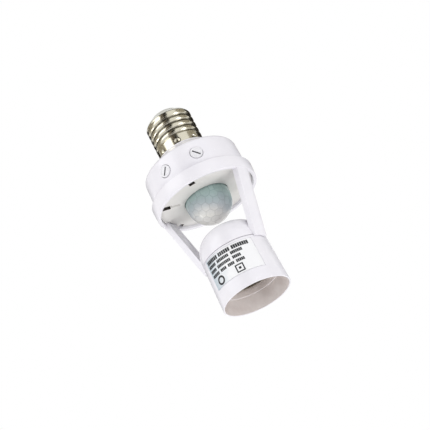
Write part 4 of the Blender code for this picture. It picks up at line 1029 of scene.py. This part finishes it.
def label_band(name, low, high, start, stop, deep, proud, sides=256):
    """The part of a ring round the sleeve's surface that lies between two heights and two angles."""
    profile = [
        (sleeve_radius(high) + proud, high),
        (sleeve_radius(low) + proud, low),
        (sleeve_radius(low) + deep, low),
        (sleeve_radius(high) + deep, high),
    ]
    band = turned(name, profile, sides)
    centre_turn = (start + stop) / 2

    def beside(centre, normal):
        aside = (math.atan2(centre.y, centre.x) - centre_turn + math.pi) % TURN - math.pi
        return abs(aside) > (stop - start) / 2

    select_faces(band.data, beside)
    bpy.ops.object.mode_set(mode="EDIT")
    bpy.ops.mesh.delete(type="FACE")
    bpy.ops.mesh.select_all(action="SELECT")
    bpy.ops.mesh.fill_holes(sides=0)
    bpy.ops.mesh.normals_make_consistent(inside=False)
    bpy.ops.object.mode_set(mode="OBJECT")
    for vertex in band.data.vertices:
        aside = math.atan2(vertex.co.y, vertex.co.x) - centre_turn
        vertex.co.z -= LABEL_TILT * aside / (LABEL_STOP - LABEL_START)
    return band


# The same ABS in the sleeve's bore: unpolished and dull, with painted shade that makes it darker and browner
# inside the mouth.
BORE_SHADE = moulded_plastic(
    "unpolished_white_abs_painted_shade", "#DED6D3", "#CFC5C1", 0.5, mottle=9 * MM, grain=0.4 * MM, depth=0.02 * MM
)

label_top = LABEL_LOW + LABEL_HEIGHT
bed_turns = (LABEL_START - BED_MARGIN, LABEL_STOP + BED_MARGIN)
bed = label_band("label_bed", LABEL_LOW - GAP, label_top + GAP, *bed_turns, -LABEL_SHEET, 1 * MM)
boolean(sleeve, bed, "DIFFERENCE")
smooth(sleeve)
finish_piece(sleeve, WHITE, "white_plastic", "holder", "socket_sleeve")
sleeve.data.materials.append(BORE_SHADE)
# The faces of the bore inside the mouth take the painted shade.
for face in sleeve.data.polygons:
    inward = face.normal.x * face.center.x + face.normal.y * face.center.y < -0.5 * face.center.xy.length
    if inward and face.center.xy.length < mouth_bore:
        face.material_index = 1

# Rating label
# A thin polyester film is stuck in its bed on the sleeve, proud by less than a tenth of a millimetre. It
# is printed in black with plain generic marks: four rows of blocks, a ring, and a square with a dot.

LABEL_PROUD = 0.08 * MM
INK_PROUD = 0.03 * MM
# Each row has its height up the sleeve, its blocks' height and step in millimetres, and its groups: the
# angle in degrees at which a group starts, and how many blocks it has.
ROWS = [
    (23.2, 2.2, 1.2, (-112, 7), (-84, 6), (-59, 8)),
    (20.5, 1.7, 0.95, (-112, 6), (-91, 8), (-64, 7)),
    (17.8, 1.7, 0.95, (-112, 5), (-94, 9), (-64, 5)),
    (15.1, 1.7, 0.95, (-112, 6), (-91, 4), (-76, 4), (-61, 5)),
]
BLOCK_SHARE = 0.86
MARK_HEIGHT = 10.9 * MM
RING_MARK_TURN = math.radians(-98)
RING_MARK_RADIUS = 2.0 * MM
RING_MARK_STROKE = 0.52 * MM
SQUARE_TURN = math.radians(-60)
STROKE = 0.65 * MM
SQUARE = 6 * STROKE
# The angles where the label's painted shade starts and where it is full.
FILM_SHADE_TURNS = (math.radians(-62), math.radians(-104))


def printed_film(name, lit_side, shaded_side, start, stop):
    """Glossy label film with painted shade: its colour turns from a lit one to a shaded one round the sleeve,
    from one angle to another.

    Glue under the film makes it cockle, in patches about 3 mm wide.
    """
    material, tree, shader = blank_material(name)
    place = add(tree, "ShaderNodeTexCoord").outputs["Object"]
    spot = add(tree, "ShaderNodeSeparateXYZ", {0: place})
    angle = calculate(tree, "ARCTAN2", spot.outputs[1], spot.outputs[0])
    cockle = noise(tree, place, 3.0 * MM, 3.0)
    share = remap(tree, calculate(tree, "MULTIPLY_ADD", cockle, 0.5, angle), start, stop)
    tree.links.new(blend(tree, share, lit_side, shaded_side), shader.inputs["Base Color"])
    tree.links.new(remap(tree, cockle, first=0.24, last=0.36), shader.inputs["Roughness"])
    return material


# Polyester label film: white and glossy, with painted shade that makes it greyer and bluer where it turns
# away to the left.
LABEL_FILM = printed_film("printed_polyester_film", "#F4F4F6", "#B9C6CF", *FILM_SHADE_TURNS)
# Black printing ink: satin, and a little thin in places.
INK = moulded_plastic(
    "black_label_ink", "#17181B", "#34363B", 0.45, mottle=0.8 * MM, grain=0.3 * MM, depth=0.002 * MM
)

label_turns = (LABEL_START, LABEL_STOP)
label_depths = (LABEL_PROUD - LABEL_SHEET, LABEL_PROUD)
label = label_band("label_film", LABEL_LOW, label_top, *label_turns, *label_depths, 512)
smooth(label)
finish_piece(label, LABEL_FILM, "label_film", "holder", "rating_label")


def flat_print(name, across, along, wide, tall, count=1, step=0.0):
    """A flat block of ink, or a row of them, on the unrolled sleeve: across runs round it, along runs up."""
    made = block(name, (across, along, INK_PROUD / 2), (wide, tall, INK_PROUD))
    modify(
        made,
        "ARRAY",
        count=count,
        use_relative_offset=False,
        use_constant_offset=True,
        constant_offset_displace=(step, 0, 0),
    )
    return made


def flat_ring(name, across, along, radius, stroke):
    """A flat ring of ink on the unrolled sleeve."""
    clear_selection()
    bpy.ops.mesh.primitive_torus_add(
        major_segments=48, minor_segments=8, major_radius=radius, minor_radius=stroke
    )
    made = bpy.context.object
    made.name = name
    settle(made)
    made.location = (across, along, INK_PROUD / 2)
    made.scale = (1, 1, INK_PROUD / 2 / stroke)
    settle(made)
    return made


unrolled = SLEEVE_TOP_RADIUS + SLEEVE_FLARE / 2
prints = []
for row, (height, tall, step, *groups) in enumerate(ROWS):
    for start, blocks in groups:
        place = (math.radians(start) * unrolled + step * MM / 2, height * MM)
        size = (step * MM * BLOCK_SHARE, tall * MM)
        prints.append(flat_print(f"print_row_{row}", *place, *size, blocks, step * MM))
across = RING_MARK_TURN * unrolled
prints.append(flat_ring("print_ring", across, MARK_HEIGHT, RING_MARK_RADIUS, RING_MARK_STROKE))
across = SQUARE_TURN * unrolled
for i, side in enumerate((-1, 1)):
    edge = side * SQUARE / 2
    first = (across - 2 * STROKE, MARK_HEIGHT + edge)
    prints.append(flat_print(f"print_level_{i}", *first, STROKE, STROKE, 5, STROKE))
    prints.append(flat_print(f"print_upright_{i}", across + edge, MARK_HEIGHT, STROKE, SQUARE + STROKE))
prints.append(flat_print("print_dot", across, MARK_HEIGHT, SQUARE / 3, SQUARE / 3))
clear_selection()
for piece in prints:
    piece.select_set(True)
bpy.context.view_layer.objects.active = prints[0]
bpy.ops.object.join()
label_print = bpy.context.object
label_print.name = "label_print"
for vertex in label_print.data.vertices:
    across, along, proud = vertex.co
    radius = sleeve_radius(along) + LABEL_PROUD + proud - INK_PROUD / 4
    turn = across / unrolled
    tilt = LABEL_TILT * (0.5 - (turn - LABEL_START) / (LABEL_STOP - LABEL_START))
    vertex.co = (radius * math.cos(turn), radius * math.sin(turn), along + tilt)
finish_piece(label_print, INK, "label_film", "holder")

# Socket core
# A pale heat-proof core stands inside the sleeve: a tube round the lamp's thread, a flange that the
# sleeve's neck holds, and a disc on top that carries the contacts' rivets.

CORE_SIDES = 128
CORE_BORE = 14.05 * MM
CORE_RADIUS = 15.25 * MM
CORE_FLANGE_RADIUS = 16.0 * MM
CORE_FLANGE = 1.7 * MM
CORE_DISC_RADIUS = 13.75 * MM
CORE_EDGE = 1.0 * MM
CORE_MIDDLE = 1 * MM
RIVET_HOLE = 1.3 * MM
SHELL_RIVET_REACH = 10.9 * MM
TONGUE_RIVET_REACH = 5.2 * MM
RIVET_PLACES = {
    "shell_rivet_front": (0, -SHELL_RIVET_REACH),
    "shell_rivet_back": (0, SHELL_RIVET_REACH),
    "contact_rivet": (TONGUE_RIVET_REACH, 0),
}

# Mineral-filled polyester of the core: warm grey and dull, with fine grains.
CORE_GREY = moulded_plastic(
    "mineral_filled_polyester", "#B9B0AA", "#ABA29B", 0.6, mottle=5 * MM, grain=0.35 * MM, depth=0.02 * MM
)

core_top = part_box("socket_core")[1][2]
flange_low = SLEEVE_HEIGHT + SLEEVE_NECK + GAP
flange_high = flange_low + CORE_FLANGE
core_profile = [
    (CORE_MIDDLE, core_top),
    (CORE_DISC_RADIUS - CORE_EDGE, core_top),
    (CORE_DISC_RADIUS, core_top - CORE_EDGE),
    (CORE_DISC_RADIUS, flange_high),
    (CORE_FLANGE_RADIUS, flange_high),
    (CORE_FLANGE_RADIUS, flange_low),
    (CORE_RADIUS, flange_low),
    (CORE_RADIUS, CORE_MOUTH),
    (CORE_BORE, CORE_MOUTH),
    (CORE_BORE, flange_high),
    (CORE_MIDDLE, flange_high),
]
core = turned("core_moulding", core_profile, CORE_SIDES, ends="flat")
for name, (x, y) in RIVET_PLACES.items():
    drill = cylinder(f"{name}_hole", RIVET_HOLE, 8 * MM, (x, y, core_top), (0, 0, 1))
    boolean(core, drill, "DIFFERENCE")
round_edges(core, 0.2 * MM, 2, 35)
smooth(core)
finish_piece(core, CORE_GREY, "core_plastic", "holder", "socket_core")

# Socket shell
# The lamp screws into a thin shell of nickel-plated steel. The thread is rolled into it, and its inward
# rim is held under the core's disc by two rivets.

SHELL_SIDES = 128
SHELL_BORE = 13.35 * MM
SHELL_SHEET = 0.4 * MM
SHELL_LOW = 11.8 * MM
SHELL_RIM_BORE = 8.7 * MM

# Nickel plate on steel: duller and greyer than the cap.
DULL_NICKEL = plated_metal("nickel_plated_steel", "#B8B0A2", "#5B5348", (12.5 * MM, 13.4 * MM), 0.34)

shell_top = flange_high - GAP
shell_high = shell_top - SHELL_SHEET - THREAD_PITCH / 4
shell_start = SHELL_LOW + THREAD_PITCH / 4
shell_rows = int((shell_high - shell_start) / thread_step)
shell_profile = [(SHELL_RIM_BORE, shell_top - SHELL_SHEET), (SHELL_BORE, shell_top - SHELL_SHEET)]
shell_profile += [(SHELL_BORE, shell_high - thread_step * i) for i in range(shell_rows + 1)]
shell_profile += [(SHELL_BORE, SHELL_LOW)]
socket_shell = turned("socket_shell_rolled", shell_profile, SHELL_SIDES, ends="open")
for vertex in socket_shell.data.vertices:
    vertex.co = rolled(vertex.co, shell_start, shell_high)
modify(socket_shell, "SOLIDIFY", thickness=SHELL_SHEET, offset=1)
for name in ("shell_rivet_front", "shell_rivet_back"):
    drill = cylinder(f"{name}_shell_hole", RIVET_HOLE, 4 * MM, (*RIVET_PLACES[name], shell_top), (0, 0, 1))
    boolean(socket_shell, drill, "DIFFERENCE")
smooth(socket_shell, 50)
finish_piece(socket_shell, DULL_NICKEL, "brass", "holder", "socket_shell")

# Rivets and centre contact
# Three brass rivets hold the shell and the sprung tongue under the disc. Each has a round-edged head above
# and below. The tongue is a strip of spring brass, and presses on the lamp's tip.

RIVET_SIDES = 48
RIVET_SHANK = 1.0 * MM
RIVET_HEAD = 1.9 * MM
RIVET_CROWN = 0.7 * MM

for name, (x, y) in RIVET_PLACES.items():
    rivet_low, rivet_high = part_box(name)
    low, high = rivet_low[2], rivet_high[2]
    rivet_profile = [
        *arc(RIVET_HEAD - RIVET_CROWN, high - RIVET_CROWN, RIVET_CROWN, RIVET_CROWN, math.pi / 2, 0, 5),
        (RIVET_SHANK, high - RIVET_CROWN),
        (RIVET_SHANK, low + RIVET_CROWN),
        *arc(RIVET_HEAD - RIVET_CROWN, low + RIVET_CROWN, RIVET_CROWN, RIVET_CROWN, 0, -math.pi / 2, 5),
    ]
    rivet = turned(f"{name}_turned", rivet_profile, RIVET_SIDES, ends="flat")
    rivet.location = (x, y, 0)
    settle(rivet)
    smooth(rivet)
    finish_piece(rivet, BRASS, "brass", "holder", name)

# Half-hard spring brass: plain and bright, with fine rolled lines.
dress("centre_contact", plated_metal("spring_brass_strip", "#D6B36C", "#94733A", (0.0, 9.0 * MM), 0.3))

# Sensor and its parts
# Behind the dome a white ring presses its brim into the deck. The heat sensor's steel can and its dark
# window face down through it, beside a clear light sensor.

# Drawn steel of the sensor's can: bright and even.
CAN_STEEL = plated_metal("drawn_steel_can", "#C6C5C2", "#8F8D89", (0.0, 4.5 * MM), 0.28)
# Coated glass of the sensor's window: nearly black, polished.
WINDOW_GLASS = moulded_plastic(
    "dark_window_glass", "#141218", "#1C1A22", 0.08, grain=2 * MM, depth=0.001 * MM, ior=1.6
)
# Cast epoxy resin of the light sensor: pale straw, glossy.
RESIN = moulded_plastic("pale_epoxy_resin", "#D9D2C0", "#CFC6B0", 0.12, grain=1 * MM, depth=0.002 * MM)
# Zinc-plated steel of the board's screws: cool grey, half bright.
SCREW_STEEL = plated_metal("zinc_plated_steel", "#BFC0C0", "#84827C", (0.0, 20.0 * MM), 0.32)

dress("dome_retainer", WHITE)
dress("pir_sensor", CAN_STEEL)
dress("pir_window", WINDOW_GLASS)
dress("light_sensor", RESIN)
for side in LEG_TURNS:
    dress(f"board_screw_{side}", SCREW_STEEL)

# Circuit board
# The board is paper laminate. It carries the relay, the capacitors, the rectifier, the fuse resistor, the
# chip and the two trimmers that the knobs turn.

# Pressed paper laminate: brown and satin, mottled by its fibres.
LAMINATE = moulded_plastic(
    "paper_laminate_board", "#B08A4C", "#9C783E", 0.5, mottle=3 * MM, grain=0.25 * MM, depth=0.01 * MM
)
# Blue nylon of the trimmers' bodies: satin and plain.
TRIMMER_BLUE = moulded_plastic("blue_nylon_trimmer", "#2A5AA8", "#244E93", 0.35, grain=0.5 * MM)
# Black polyester of the relay's case, and much the same on the rectifier and the chip: satin.
CASE_BLACK = moulded_plastic("black_polyester_case", "#1B1B1D", "#232326", 0.38, grain=0.4 * MM)
# Yellow polyester box of the film capacitor: half glossy.
BOX_YELLOW = moulded_plastic("yellow_polyester_box", "#D9A72B", "#CC9920", 0.34, grain=0.6 * MM)
# Shrunk vinyl film round the smoothing capacitor: blue-black, half glossy.
SLEEVE_BLACK = moulded_plastic("shrunk_vinyl_film", "#20242C", "#1A1D24", 0.28, grain=1.2 * MM)
# Green cement coat of the fuse resistor: dull and grainy.
CEMENT_GREEN = moulded_plastic(
    "green_resistor_cement", "#4F7A60", "#456C54", 0.6, mottle=2 * MM, grain=0.3 * MM, depth=0.03 * MM
)

dress("circuit_board", LAMINATE)
for node in ("time_pot", "lux_pot"):
    dress(node, TRIMMER_BLUE)
for node in ("relay", "bridge_rectifier", "control_chip"):
    dress(node, CASE_BLACK)
dress("film_capacitor", BOX_YELLOW)
dress("smoothing_capacitor", SLEEVE_BLACK)
dress("fuse_resistor", CEMENT_GREEN)

# Wires
# Four stranded copper wires in silicone insulation. Two go up from the board to the cap's button and
# shell, and two go down the legs' channels to the socket's rivets.

# Extruded silicone: matt and finely grained, red on the live side and blue on the neutral side.
SILICONE = {"roughness": 0.55, "mottle": 6 * MM, "grain": 0.2 * MM}
RED_SILICONE = moulded_plastic("red_silicone_wire", "#B0231E", "#A01F1B", **SILICONE)
BLUE_SILICONE = moulded_plastic("blue_silicone_wire", "#27519E", "#22488D", **SILICONE)

for end in ("cap", "lamp"):
    dress(f"{end}_live_wire", RED_SILICONE)
    dress(f"{end}_neutral_wire", BLUE_SILICONE)
